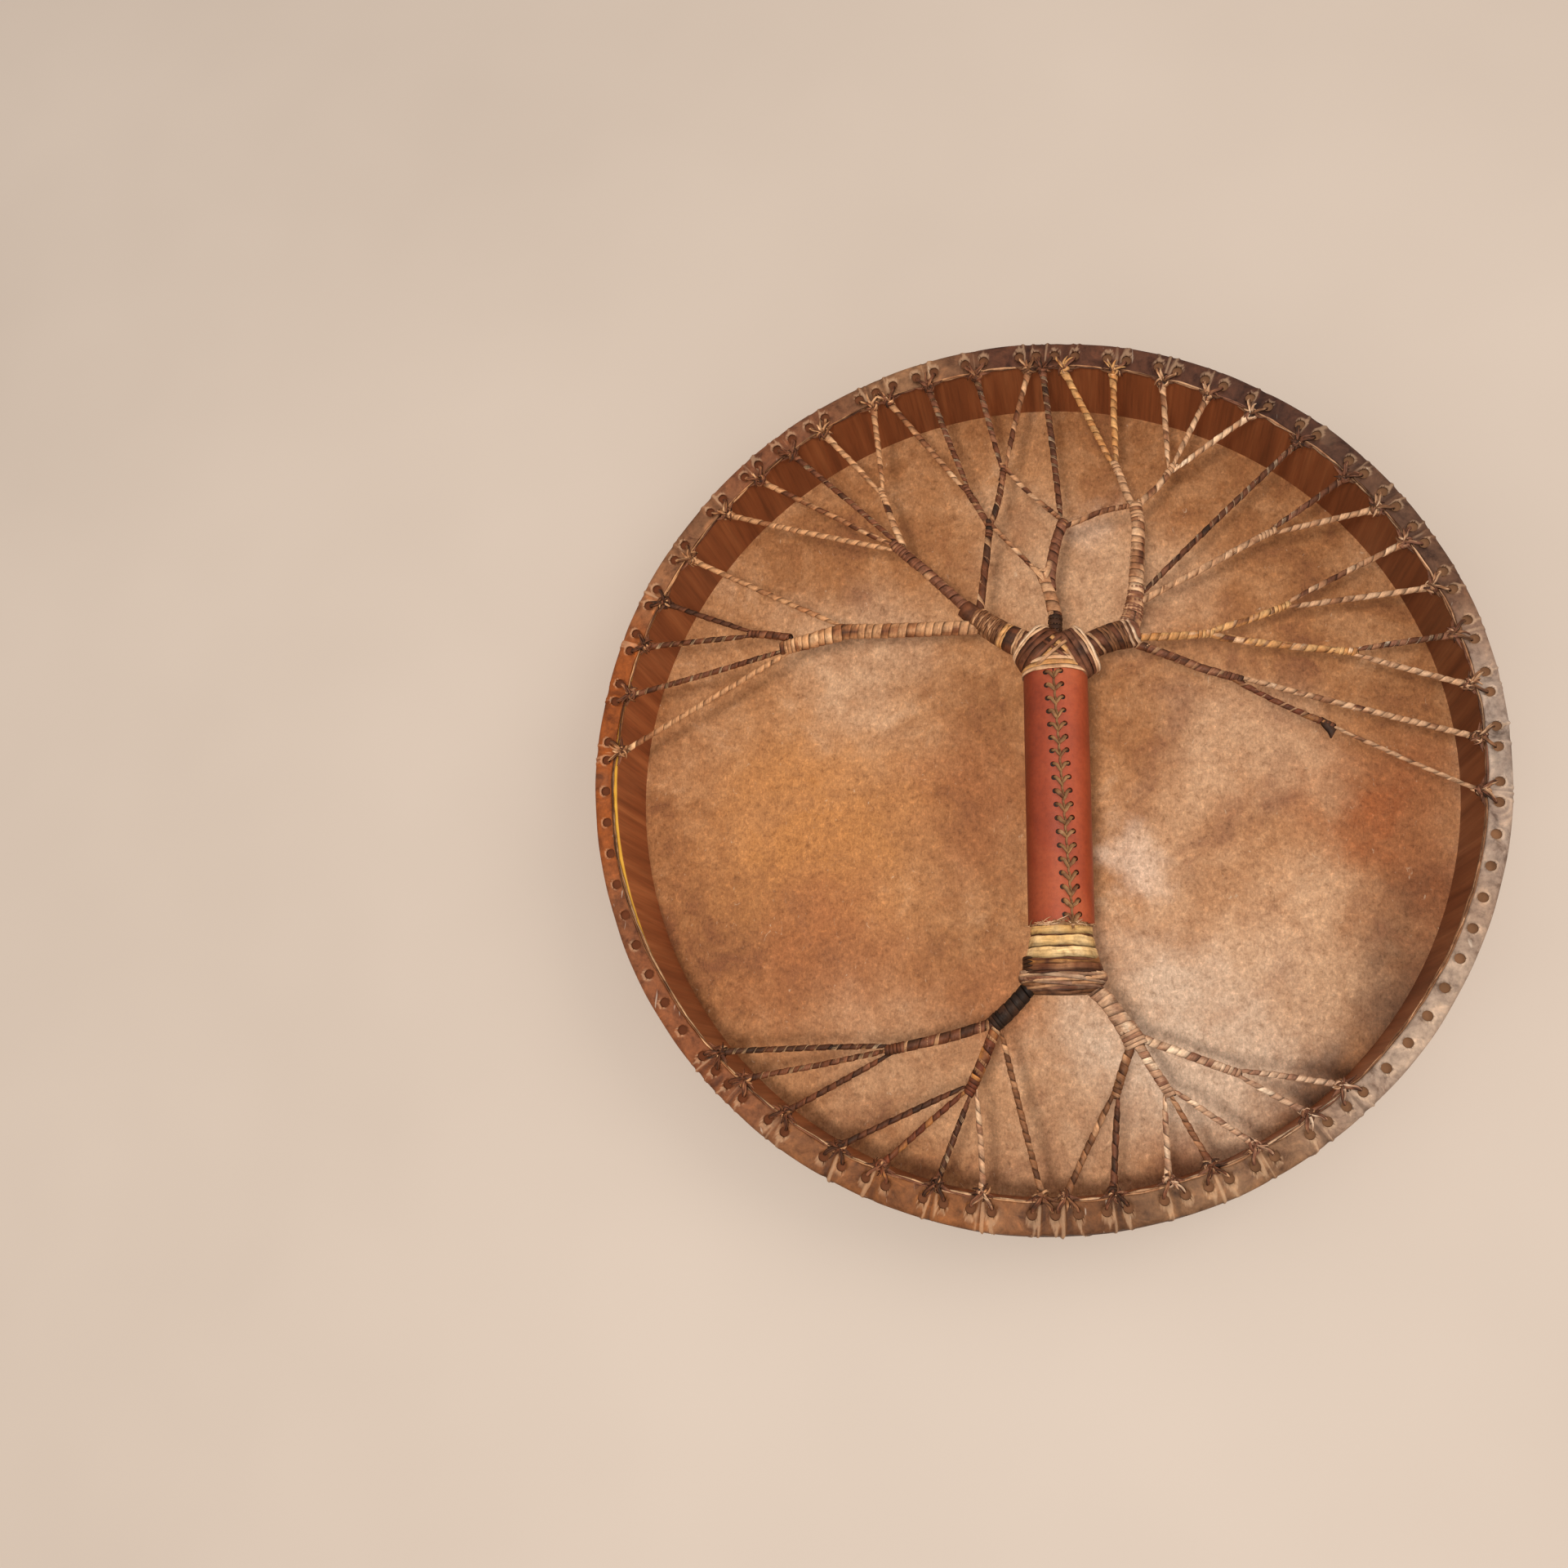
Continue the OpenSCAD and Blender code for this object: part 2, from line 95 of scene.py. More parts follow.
# A strip's colours as it winds on, from its dark patches to its light ones
PALETTES = {
    "pale": [(0, BROWN), (0.1, TAN), (0.3, CREAM), (0.65, PALE), (1, WHITE)],
    "cream": [(0, DARK), (0.08, BROWN), (0.25, TAN), (0.5, CREAM), (0.8, CREAM), (1, PALE)],
    "tan": [(0, DARK), (0.3, BROWN), (0.55, TAN), (0.8, CREAM), (1, PALE)],
    "ochre": [(0, BROWN), (0.2, OCHRE), (0.6, YELLOW), (0.85, OCHRE), (1, PALE)],
    "brown": [(0, BLACK), (0.18, DARK), (0.45, BROWN), (0.75, MAUVE), (1, TAN)],
    "red": [(0, DARK), (0.4, RED), (0.7, BROWN), (1, OCHRE)],
    "mauve": [(0, BROWN), (0.4, MAUVE), (0.75, MAUVE), (1, CREAM)],
    "grey": [(0, DARK), (0.3, MAUVE), (0.6, GREY), (1, WHITE)],
    "dark": [(0, BLACK), (0.4, DARK), (0.75, BROWN), (1, MAUVE)],
    "black": [(0, BLACK), (0.6, DARK), (1, BROWN)],
    "umber": [(0, DARK), (0.35, lin(100, 66, 44)), (0.75, lin(130, 90, 62)), (1, CREAM)],
    "blush": [(0, MAUVE), (0.3, lin(150, 112, 90)), (0.65, lin(186, 152, 126)), (1, WHITE)],
    "straw": [(0, OCHRE), (0.4, lin(206, 170, 114)), (1, lin(226, 200, 156))],
    "soot": [(0, lin(30, 21, 16)), (0.6, BLACK), (1, DARK)],
    "olive": [(0, BROWN), (0.35, OLIVE), (0.75, OLIVE), (1, CREAM)],
}


def shade(palette, t):
    stops = PALETTES[palette]
    at = [s[0] for s in stops]
    return np.stack([np.interp(t, at, [s[1][k] for s in stops]) for k in range(3)], -1)


def waves(argument, rng):
    """Sines of argument(octave), each finer than the one before, added to about -1 to 1."""
    octaves = (1.0, 1.9, 3.7)
    return sum(np.sin(argument(octave) + rng.uniform(0, TAU)) / octave ** 0.7 for octave in octaves) / 2


def ripple(u, seed, wavelength):
    """Smooth noise along a line."""
    u = np.asarray(u, float)
    return waves(lambda octave: TAU * u * octave / wavelength, random.Random(f"ripple {seed}"))


def wave(theta, seed, cycles):
    """Smooth noise round the rim, theta in degrees."""
    return waves(lambda octave: np.radians(theta) * round(cycles * octave), random.Random(f"wave {seed}"))


# ---------------------------------------------------------------- mesh building
class Build:
    """Collects lofted solids for one piece."""

    def __init__(self):
        self.points, self.faces, self.wrap, self.tint, self.count = [], [], [], [], 0

    def loft(self, rings, along, across, tint, seed=0.0, closed=False):
        """Joins rings of points, m by k, into one closed solid."""
        m, k = rings.shape[:2]
        base = self.count
        self.points.append(rings.reshape(-1, 3))
        # across is what the rawhide material paints each strip's rim highlight and tuck shade from
        wrap = np.zeros((m, k, 3))
        wrap[..., 0] = np.asarray(along)[:, None]
        wrap[..., 1] = np.asarray(across)[None, :]
        wrap[..., 2] = seed
        self.wrap.append(wrap.reshape(-1, 3))
        tint = np.broadcast_to(np.asarray(tint, float).reshape(-1, 1, 3), (m, k, 3))
        self.tint.append(tint.reshape(-1, 3))
        for i in range(m if closed else m - 1):
            a, b = base + i * k, base + (i + 1) % m * k
            for j in range(k):
                n = (j + 1) % k
                self.faces.append((a + j, b + j, b + n, a + n))
        if not closed:
            self.faces.append(tuple(base + j for j in range(k)))
            self.faces.append(tuple(base + (m - 1) * k + j for j in reversed(range(k))))
        self.count += m * k

    def piece(self, name, node, material, slot=None):
        """Writes the solids as one object that stands for a CAD node."""
        mesh = bpy.data.meshes.new(name)
        mesh.from_pydata((np.concatenate(self.points) * MM).tolist(), [], self.faces)
        tint = mesh.attributes.new("tint", "FLOAT_COLOR", "POINT")
        colour = np.ones((self.count, 4), np.float32)
        colour[:, :3] = np.concatenate(self.tint)
        tint.data.foreach_set("color", colour.ravel())
        wrap = mesh.attributes.new("wrap", "FLOAT_VECTOR", "POINT")
        wrap.data.foreach_set("vector", np.concatenate(self.wrap).astype(np.float32).ravel())
        outward(mesh)
        return placed(name, mesh, material, node)


def outward(mesh):
    """Turns every face outwards and shades it smooth."""
    bm = bmesh.new()
    bm.from_mesh(mesh)
    bmesh.ops.recalc_face_normals(bm, faces=bm.faces)
    bm.to_mesh(mesh)
    bm.free()
    mesh.shade_smooth()


def placed(name, mesh, material, node):
    piece = bpy.data.objects.new(name, mesh)
    bpy.context.scene.collection.objects.link(piece)
    mesh.materials.append(material)
    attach(piece, BODY)
    if node:
        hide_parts(node)
    return piece


def unit(v):
    return v / np.maximum(np.linalg.norm(v, axis=-1, keepdims=True), 1e-9)


class Path:
    """A smooth route through [x, y, z, radius] points, with a frame at each place along it.
    flat is the height of its section over its width."""

    def __init__(self, points, flat=1.0, up=UP):
        q = np.array(points, float)
        q = np.vstack([2 * q[0] - q[1], q, 2 * q[-1] - q[-2]])
        t = np.linspace(0, 1, 12, endpoint=False)[:, None]
        parts = []
        for i in range(1, len(q) - 2):
            a, b, c, d = q[i - 1:i + 3]
            parts.append(b + 0.5 * t * (c - a + t * (2 * a - 5 * b + 4 * c - d + t * (3 * (b - c) + d - a))))
        q = np.vstack(parts + [q[-2:-1]])
        self.q, self.flat, self.up = q, flat, np.array(up, float)
        self.s = np.concatenate([[0], np.cumsum(np.linalg.norm(np.diff(q[:, :3], axis=0), axis=1))])
        self.length = self.s[-1]
        self.t = unit(np.gradient(q[:, :3], self.s, axis=0))

    def at(self, s):
        """Centre, sideways and upward directions and radius; straight on past either end."""
        s = np.asarray(s, float)
        c = np.clip(s, 0, self.length)
        p = np.stack([np.interp(c, self.s, self.q[:, k]) for k in range(3)], -1)
        t = unit(np.stack([np.interp(c, self.s, self.t[:, k]) for k in range(3)], -1))
        p = p + (s - c)[..., None] * t
        n = unit(self.up - (t @ self.up)[..., None] * t)
        return p, np.cross(t, n), n, np.interp(c, self.s, self.q[:, 3])

    def skin(self, s, phi, lift):
        """A point lift above the section's outline, at angle phi from its right side."""
        p, side, n, r = self.at(s)
        across, up = (r + lift) * np.cos(phi), (r * self.flat + lift) * np.sin(phi)
        return p + across[..., None] * side + up[..., None] * n


def core(build, path, s0, s1, sink, palette, seed, sides=12):
    """The bundle under the wraps."""
    s = np.linspace(s0, s1, max(3, int((s1 - s0) / 3) + 1))
    phi = np.arange(sides) / sides * TAU
    rings = path.skin(s[:, None] + 0 * phi, phi[None, :] + 0 * s[:, None], -sink + 0 * s[:, None] * phi)
    build.loft(rings, s, phi / TAU, shade(palette, 0.5 + 0.4 * ripple(s, seed, 30)), seed=hash_of(seed))


def hash_of(seed):
    return random.Random(f"hash {seed}").uniform(0, 50)


def wind(build, path, s0, s1, pitch, rise, palette, seed, hand=1, steps=12, patch=26.0, gain=1.0, bias=0.0,
         spread=0.22, cover=0.56):
    """One flat strip wound round a path, each turn lapped over the edge of the one before."""
    rng = random.Random(f"wind {seed}")
    s, phi, where, angle, pitches = s0, rng.uniform(0, TAU), [], [], []
    tones, k = [], 0
    while s < s1:
        if k % steps == 0:
            turn_width, turn_tone = 1 + rng.uniform(-spread, spread), rng.uniform(-0.24, 0.24)
        step = pitch * turn_width
        where.append(s)
        angle.append(phi)
        pitches.append(step)
        tones.append(turn_tone)
        s += step / steps
        phi += hand * TAU / steps
        k += 1
    if len(where) < 4:
        return
    where, angle = np.array(where), np.array(angle)
    pitches = np.convolve(np.pad(np.array(pitches), 3, mode="edge"), np.ones(7) / 7, mode="valid")
    profile = np.array([(-cover * 0.96, -0.7), (-cover, 0.75 * rise), (-cover * 0.8, rise),
                        (-0.1, 0.92 * rise),
                        (0.34, 0.55 * rise), (cover, 0.05 * rise), (cover * 0.95, -0.7)])
    across = np.array([0.0, 0.06, 0.16, 0.45, 0.7, 1.0, 1.0])
    swell = 1 + 0.25 * ripple(where, (seed, "swell"), 2.3 * pitch)
    u = np.concatenate([[0], np.cumsum(np.hypot(np.diff(where), path.at(where[:-1])[3] * TAU / steps))])
    ss = where[:, None] + profile[None, :, 0] * pitches[:, None]
    lift = np.where(profile[None, :, 1] > 0, profile[None, :, 1] * swell[:, None], profile[None, :, 1]) - rise
    rings = path.skin(ss, np.broadcast_to(angle[:, None], ss.shape), lift)
    value = np.clip(0.55 + bias + 0.42 * gain * ripple(u, (seed, "tint"), patch) + np.array(tones), 0, 1)
    build.loft(rings, u, across, shade(palette, value), seed=hash_of(seed))


def strip(build, points, widths, thick, palette, seed, normals=None, twist=0.0, value=None, patch=18.0):
    """A flat rawhide strip along points, with its flat side to the normals."""
    p = np.array(points, float)
    m = len(p)
    t = unit(np.gradient(p, axis=0))
    n = np.broadcast_to(UP if normals is None else np.array(normals, float), (m, 3))
    n = unit(n - (n * t).sum(1)[:, None] * t)
    side = np.cross(t, n)
    turn = np.linspace(0, twist, m)[:, None]
    n, side = n * np.cos(turn) + side * np.sin(turn), side * np.cos(turn) - n * np.sin(turn)
    w = np.broadcast_to(np.array(widths, float), (m,))[:, None]
    section = [(-0.5, 0.0), (-0.4, 0.42), (0.0, 0.5), (0.4, 0.42), (0.5, 0.0), (0.4, -0.42), (-0.4, -0.42)]
    rings = np.stack([p + side * w * a + n * thick * h for a, h in section], 1)
    u = np.concatenate([[0], np.cumsum(np.linalg.norm(np.diff(p, axis=0), axis=1))])
    if value is None:
        level = 0.55 + 0.5 * ripple(u, (seed, "tint"), patch)
    else:
        level = value + 0.18 * ripple(u, seed, patch)
    across = np.array([0.05, 0.15, 0.45, 0.75, 0.85, 0.9, 0.1])
    build.loft(rings, u, across, shade(palette, np.clip(level, 0, 1)), seed=hash_of(seed))


def band(build, path, s, width, rise, palette, seed, value=0.6, tilt=0.0, phase=0.0, wobble=0.4):
    """One turn of strip square to the path, from s on for its width."""
    steps = 36
    phi = np.arange(steps) / steps * TAU
    centre = s + width / 2 + tilt * np.sin(phi + phase) + wobble * ripple(np.cos(phi) * 9, (seed, "w"), 16)
    half = width / 2 * (1.05 + 0.14 * ripple(np.cos(phi) * 9, (seed, "h"), 13))
    profile = np.array([(-0.97, -1.0), (-1.0, 0.55), (-0.85, 0.92), (0.0, 1.0), (0.85, 0.88), (1.0, 0.5),
                        (0.97, -1.0)])
    ss = centre[:, None] + profile[None, :, 0] * half[:, None]
    lift = np.where(profile[:, 1] > 0, profile[:, 1] * rise, -0.8)[None, :] + 0 * ss
    rings = path.skin(ss, np.broadcast_to(phi[:, None], ss.shape), lift)
    level = np.clip(value + 0.26 * ripple(np.cos(phi) * 9, (seed, "tint"), 12), 0, 1)
    build.loft(rings, phi * 8, np.array([0.0, 0.05, 0.2, 0.5, 0.8, 0.95, 1.0]), shade(palette, level),
               seed=hash_of(seed), closed=True)


def bands(build, path, s, items, seed, tilt=0.0, phase=0.0):
    """Turns laid side by side: (width, rise, palette, value) each."""
    for k, (width, rise, palette, value) in enumerate(items):
        band(build, path, s, width, rise, palette, f"{seed} {k}", value, tilt, phase)
        s += width
    return s


# ---------------------------------------------------------------- materials
def add(nt, kind, inputs=None, **props):
    n = nt.nodes.new(kind)
    for key, value in props.items():
        setattr(n, key, value)
    for key, value in (inputs or {}).items():
        if isinstance(value, bpy.types.NodeSocket):
            nt.links.new(value, n.inputs[key])
        else:
            n.inputs[key].default_value = value
    return n


def rgba(c):
    return (float(c[0]), float(c[1]), float(c[2]), 1.0)


def mixed(nt, factor, a, b, blend="MIX"):
    n = nt.nodes.new("ShaderNodeMix")
    n.data_type, n.blend_type, n.clamp_factor = "RGBA", blend, True
    for index, value in ((0, factor), (6, a), (7, b)):
        if isinstance(value, bpy.types.NodeSocket):
            nt.links.new(value, n.inputs[index])
        else:
            n.inputs[index].default_value = value if index == 0 else rgba(value)
    return n.outputs[2]


def times(nt, colour, by):
    """A colour multiplied by another colour."""
    return mixed(nt, 1.0, colour, by, "MULTIPLY")


def ramp(nt, factor, stops):
    """Colours or greys at places from 0 to 1: (place, colour) each."""
    n = add(nt, "ShaderNodeValToRGB", {"Fac": factor})
    e = n.color_ramp.elements
    while len(e) < len(stops):
        e.new(0.5)
    for item, (at, colour) in zip(e, stops):
        item.position = at
        item.color = rgba(colour if hasattr(colour, "__len__") else (colour,) * 3)
    return n.outputs["Color"]


def noise(nt, vector, scale, detail=4.0, rough=0.55, distortion=0.0):
    values = {"Vector": vector, "Scale": scale, "Detail": detail, "Roughness": rough,
              "Distortion": distortion}
    return add(nt, "ShaderNodeTexNoise", values).outputs["Fac"]


def ranged(nt, value, a, b, c, d):
    """A value's span from a to b as the span from c to d."""
    spans = {"Value": value, "From Min": a, "From Max": b, "To Min": c, "To Max": d}
    return add(nt, "ShaderNodeMapRange", spans).outputs[0]


def scaled(nt, vector, by):
    return add(nt, "ShaderNodeVectorMath", {0: vector, 1: by}, operation="MULTIPLY").outputs[0]


def math_node(nt, kind, a, b=0.0):
    return add(nt, "ShaderNodeMath", {0: a, 1: b}, operation=kind).outputs[0]


def plus(nt, a, share_a, b, share_b):
    """Two heights or values added, each by its share."""
    return math_node(nt, "ADD", math_node(nt, "MULTIPLY", a, share_a), math_node(nt, "MULTIPLY", b, share_b))


def axes(nt, vector):
    return tuple(add(nt, "ShaderNodeSeparateXYZ", {0: vector}).outputs)


def spot(nt, place, centre, radius):
    """1 at a place on the drum, falling to 0 at radius metres from it."""
    d = add(nt, "ShaderNodeVectorMath", {0: place, 1: centre}, operation="DISTANCE").outputs["Value"]
    spans = {"Value": d, "From Min": 0.0, "From Max": radius, "To Min": 1.0, "To Max": 0.0}
    return add(nt, "ShaderNodeMapRange", spans, interpolation_type="SMOOTHERSTEP").outputs[0]


def new_material(name):
    m = bpy.data.materials.new(name)
    m.use_nodes = True
    nt = m.node_tree
    return m, nt, nt.nodes["Principled BSDF"], add(nt, "ShaderNodeTexCoord").outputs["Object"]


def dress(nt, shader, colour, rough, height, strength, distance, specular=0.5):
    """Joins colour, roughness and bump to the shader."""
    nt.links.new(colour, shader.inputs["Base Color"])
    nt.links.new(rough, shader.inputs["Roughness"])
    bump = add(nt, "ShaderNodeBump", {"Height": height, "Strength": strength, "Distance": distance})
    nt.links.new(bump.outputs[0], shader.inputs["Normal"])
    shader.inputs["Specular IOR Level"].default_value = specular


def rawhide_material(name, rough=(0.45, 0.72)):
    m, nt, shader, place = new_material(name)
    tint = add(nt, "ShaderNodeAttribute", attribute_name="tint").outputs["Color"]
    wrap = add(nt, "ShaderNodeAttribute", attribute_name="wrap").outputs["Vector"]
    fibre = noise(nt, scaled(nt, wrap, (0.22, 7.0, 3.1)), 1.0, 5.0, 0.6, 0.3)
    grain = noise(nt, place, 900.0, 3.0)
    blotch = noise(nt, place, 230.0, 4.0, 0.64)
    colour = times(nt, tint, ramp(nt, fibre, [(0.25, 0.56), (0.5, 1.0), (0.75, 1.36)]))
    colour = times(nt, colour, ramp(nt, blotch, [(0.3, (0.56, 0.48, 0.42)), (0.47, (0.95, 0.93, 0.92)),
                                                 (0.7, (1.26, 1.22, 1.16))]))
    rightward = ranged(nt, axes(nt, place)[0], -0.12, 0.16, 0.0, 1.0)      # warmer on the drum's left
    colour = times(nt, colour, mixed(nt, rightward, (1.04, 0.88, 0.68), (1.0, 0.98, 0.94)))
    # across each strip: a painted highlight on the raised rim of a turn, painted shade on its side and where
    # it tucks under the next
    rim_light_tuck_shade = ramp(nt, axes(nt, wrap)[1], [(0.0, 0.16), (0.13, 1.34), (0.32, 1.16), (0.58, 0.96), (0.76, 0.55),
                                         (0.9, 0.24), (1.0, 0.16)])
    colour = times(nt, colour, rim_light_tuck_shade)
    dress(nt, shader, colour, ranged(nt, fibre, 0.3, 0.7, rough[1], rough[0]),
          plus(nt, fibre, 1.0, grain, 0.4), 0.6, 0.0003, 0.18)
    return m


def clouds(nt, place, colour, z, spots, drift, grain):
    """Blends soft clouds of other colours into one, at height z: (x, y, radius, colour, amount) each."""
    shifted = add(nt, "ShaderNodeTexNoise", {"Vector": place, "Scale": 14.0, "Detail": 5.0, "Roughness": 0.6})
    shift = scaled(nt, shifted.outputs["Color"], (drift, drift, 0.0))
    moved = add(nt, "ShaderNodeVectorMath", {0: place, 1: shift}, operation="ADD").outputs[0]
    for x, y, radius, to, amount in spots:
        here = math_node(nt, "MULTIPLY", spot(nt, moved, (x + drift / 2, y + drift / 2, z), radius), amount)
        colour = mixed(nt, math_node(nt, "MULTIPLY", here, grain), colour, to)
    return colour


def hide_inside_material():
    m, nt, shader, place = new_material("hide_inside")
    cloud = noise(nt, place, 6.0, 4.0, 0.55, 1.0)
    patchy = noise(nt, place, 34.0, 6.0, 0.66, 0.6)
    fine = noise(nt, place, 300.0, 5.0, 0.74, 0.4)
    hair = noise(nt, scaled(nt, place, (1.0, 0.5, 1.0)), 1000.0, 3.0, 0.7)
    colour = ramp(nt, plus(nt, cloud, 0.5, patchy, 0.5), [(0.36, lin(134, 82, 48)), (0.46, lin(161, 107, 64)),
                                                          (0.56, lin(182, 130, 87)),
                                                          (0.68, lin(203, 160, 123))])
    rust, ochre, beige, ash = lin(158, 92, 52), lin(184, 122, 66), lin(202, 160, 124), lin(206, 175, 148)
    painted_wall_shadow, scuff = lin(112, 76, 52), lin(226, 198, 176)
    spots = (
        # the first three spots are a painted shadow, cast by the lower right wall on the membrane
        (0.205, -0.12, 0.055, painted_wall_shadow, 1.0), (0.16, -0.172, 0.05, painted_wall_shadow, 0.9),
        (0.226, -0.07, 0.045, painted_wall_shadow, 0.8),
        (0.064, -0.05, 0.03, scuff, 0.8), (0.035, 0.16, 0.03, scuff, 0.45), (-0.13, -0.02, 0.12, ochre, 0.7),
        (-0.12, -0.11, 0.09, rust, 0.55), (-0.03, -0.01, 0.07, rust, 0.5), (-0.1, 0.075, 0.08, beige, 0.7),
        (0.2, -0.02, 0.09, rust, 0.8), (0.12, 0.015, 0.08, beige, 0.7), (0.06, 0.12, 0.08, beige, 0.6),
        # the ash spots and the beige spot at the bottom rim: the hide's paler patch there, with painted light
        # lifting the shade under the rim
        (0.075, -0.155, 0.11, ash, 0.9), (0.0, -0.2, 0.09, beige, 0.4), (-0.03, -0.13, 0.06, rust, 0.45),
        (0.15, -0.1, 0.08, beige, 0.7), (0.1, -0.15, 0.09, ash, 0.6), (0.01, 0.14, 0.08, beige, 0.5),
        (-0.09, -0.17, 0.08, beige, 0.4), (0.08, -0.05, 0.06, beige, 0.5))
    colour = clouds(nt, place, colour, 0.0, spots, 0.12, ranged(nt, patchy, 0.3, 0.62, 0.5, 1.35))
    colour = times(nt, colour, ramp(nt, fine, [(0.3, (0.6, 0.54, 0.48)), (0.43, (0.91, 0.88, 0.86)),
                                               (0.55, (1.06, 1.06, 1.06)), (0.72, (1.5, 1.48, 1.46))]))
    colour = times(nt, colour, ramp(nt, hair, [(0.3, 0.76), (0.5, 1.0), (0.7, 1.2)]))
    fleck = ranged(nt, noise(nt, scaled(nt, place, (1.0, 0.6, 1.0)), 170.0, 5.0, 0.6, 2.5), 0.66, 0.74, 0.0,
                   0.6)
    colour = mixed(nt, fleck, colour, lin(214, 184, 152))
    dress(nt, shader, colour, ranged(nt, patchy, 0.3, 0.7, 0.6, 0.8), plus(nt, fine, 1.0, hair, 0.5),
          0.45, 0.0005, 0.25)
    return m


def hide_outside_material():
    m, nt, shader, place = new_material("hide_outside")
    _, y, z = axes(nt, place)
    crest = add(nt, "ShaderNodeAttribute", attribute_name="crest").outputs["Fac"]
    cloud = noise(nt, place, 5.0, 5.0, 0.62, 1.0)
    patchy = noise(nt, place, 30.0, 6.0, 0.65, 0.4)
    fine = noise(nt, place, 240.0, 4.0, 0.7)
    value = plus(nt, cloud, 0.7, patchy, 0.3)
    face = ramp(nt, value, [(0.34, lin(104, 66, 48)), (0.44, lin(146, 104, 80)), (0.54, lin(176, 138, 112)),
                            (0.66, lin(208, 182, 160))])
    face_spots = (
        (0.1, 0.06, 0.12, lin(96, 62, 48), 0.8), (-0.06, 0.17, 0.09, lin(110, 70, 54), 0.7),
        (-0.12, -0.05, 0.12, lin(206, 178, 154), 0.7), (0.02, -0.15, 0.12, lin(166, 120, 90), 0.6))
    face = clouds(nt, place, face, 0.0, face_spots, 0.12, ranged(nt, patchy, 0.3, 0.6, 0.6, 1.2))
    wall = ramp(nt, value, [(0.36, lin(90, 56, 38)), (0.48, lin(120, 80, 54)), (0.62, lin(156, 114, 80))])
    wall_spots = (
        (0.14, 0.2, 0.17, lin(74, 44, 31), 1.3), (0.03, 0.25, 0.13, lin(86, 50, 34), 1.1),
        (0.21, 0.13, 0.1, lin(90, 62, 46), 0.9), (-0.25, 0.02, 0.17, lin(144, 74, 28), 1.2),
        (-0.2, -0.15, 0.14, lin(132, 76, 44), 1.1), (-0.15, 0.19, 0.1, lin(120, 68, 42), 0.8),
        (0.25, -0.01, 0.12, lin(160, 140, 126), 1.05), (0.2, -0.15, 0.14, lin(166, 142, 124), 1.05),
        (0.09, -0.24, 0.12, lin(128, 92, 64), 1.0), (0.03, -0.25, 0.06, lin(104, 66, 40), 0.9),
        (-0.07, -0.24, 0.13, lin(128, 78, 42), 1.1))
    wall = clouds(nt, place, wall, 0.06, wall_spots, 0.05, ranged(nt, patchy, 0.3, 0.6, 0.65, 1.15))
    foot = math_node(nt, "MULTIPLY", ranged(nt, y, -0.14, -0.22, 0.0, 1.0),
                     ranged(nt, z, 0.0618, 0.055, 0.0, 0.8))
    wall = mixed(nt, foot, wall, lin(80, 54, 40))
    colour = mixed(nt, ranged(nt, z, 0.001, 0.006, 0.0, 1.0), face, wall)
    blot = noise(nt, place, 85.0, 5.0, 0.68, 0.8)
    colour = times(nt, colour, ramp(nt, blot, [(0.32, (0.45, 0.38, 0.34)), (0.46, (0.9, 0.87, 0.85)),
                                               (0.58, (1.1, 1.08, 1.04)), (0.7, (1.6, 1.5, 1.36))]))
    colour = times(nt, colour, ramp(nt, fine, [(0.3, 0.7), (0.5, 1.0), (0.72, 1.25)]))
    # painted highlight where the pleats and the lips of the holes stand up
    ridge_highlight = mixed(nt, 0.5, times(nt, colour, (1.7, 1.8, 1.9)), lin(196, 160, 126))
    colour = mixed(nt, ranged(nt, crest, 0.16, 0.7, 0.0, 0.8), colour, ridge_highlight)
    # darker where the relief dips beside the knots
    dip_darker = times(nt, colour, (0.42, 0.38, 0.35))
    colour = mixed(nt, ranged(nt, crest, -0.08, -0.5, 0.0, 0.75), colour, dip_darker)
    scratch = ranged(nt, noise(nt, scaled(nt, place, (1.0, 0.16, 1.0)), 120.0, 2.0, 0.5, 3.0), 0.72, 0.76,
                     0.0, 0.4)
    colour = mixed(nt, scratch, colour, lin(222, 200, 178))
    dress(nt, shader, colour, ranged(nt, patchy, 0.3, 0.7, 0.55, 0.75), plus(nt, fine, 0.8, blot, 1.6),
          0.5, 0.0006, 0.2)
    return m


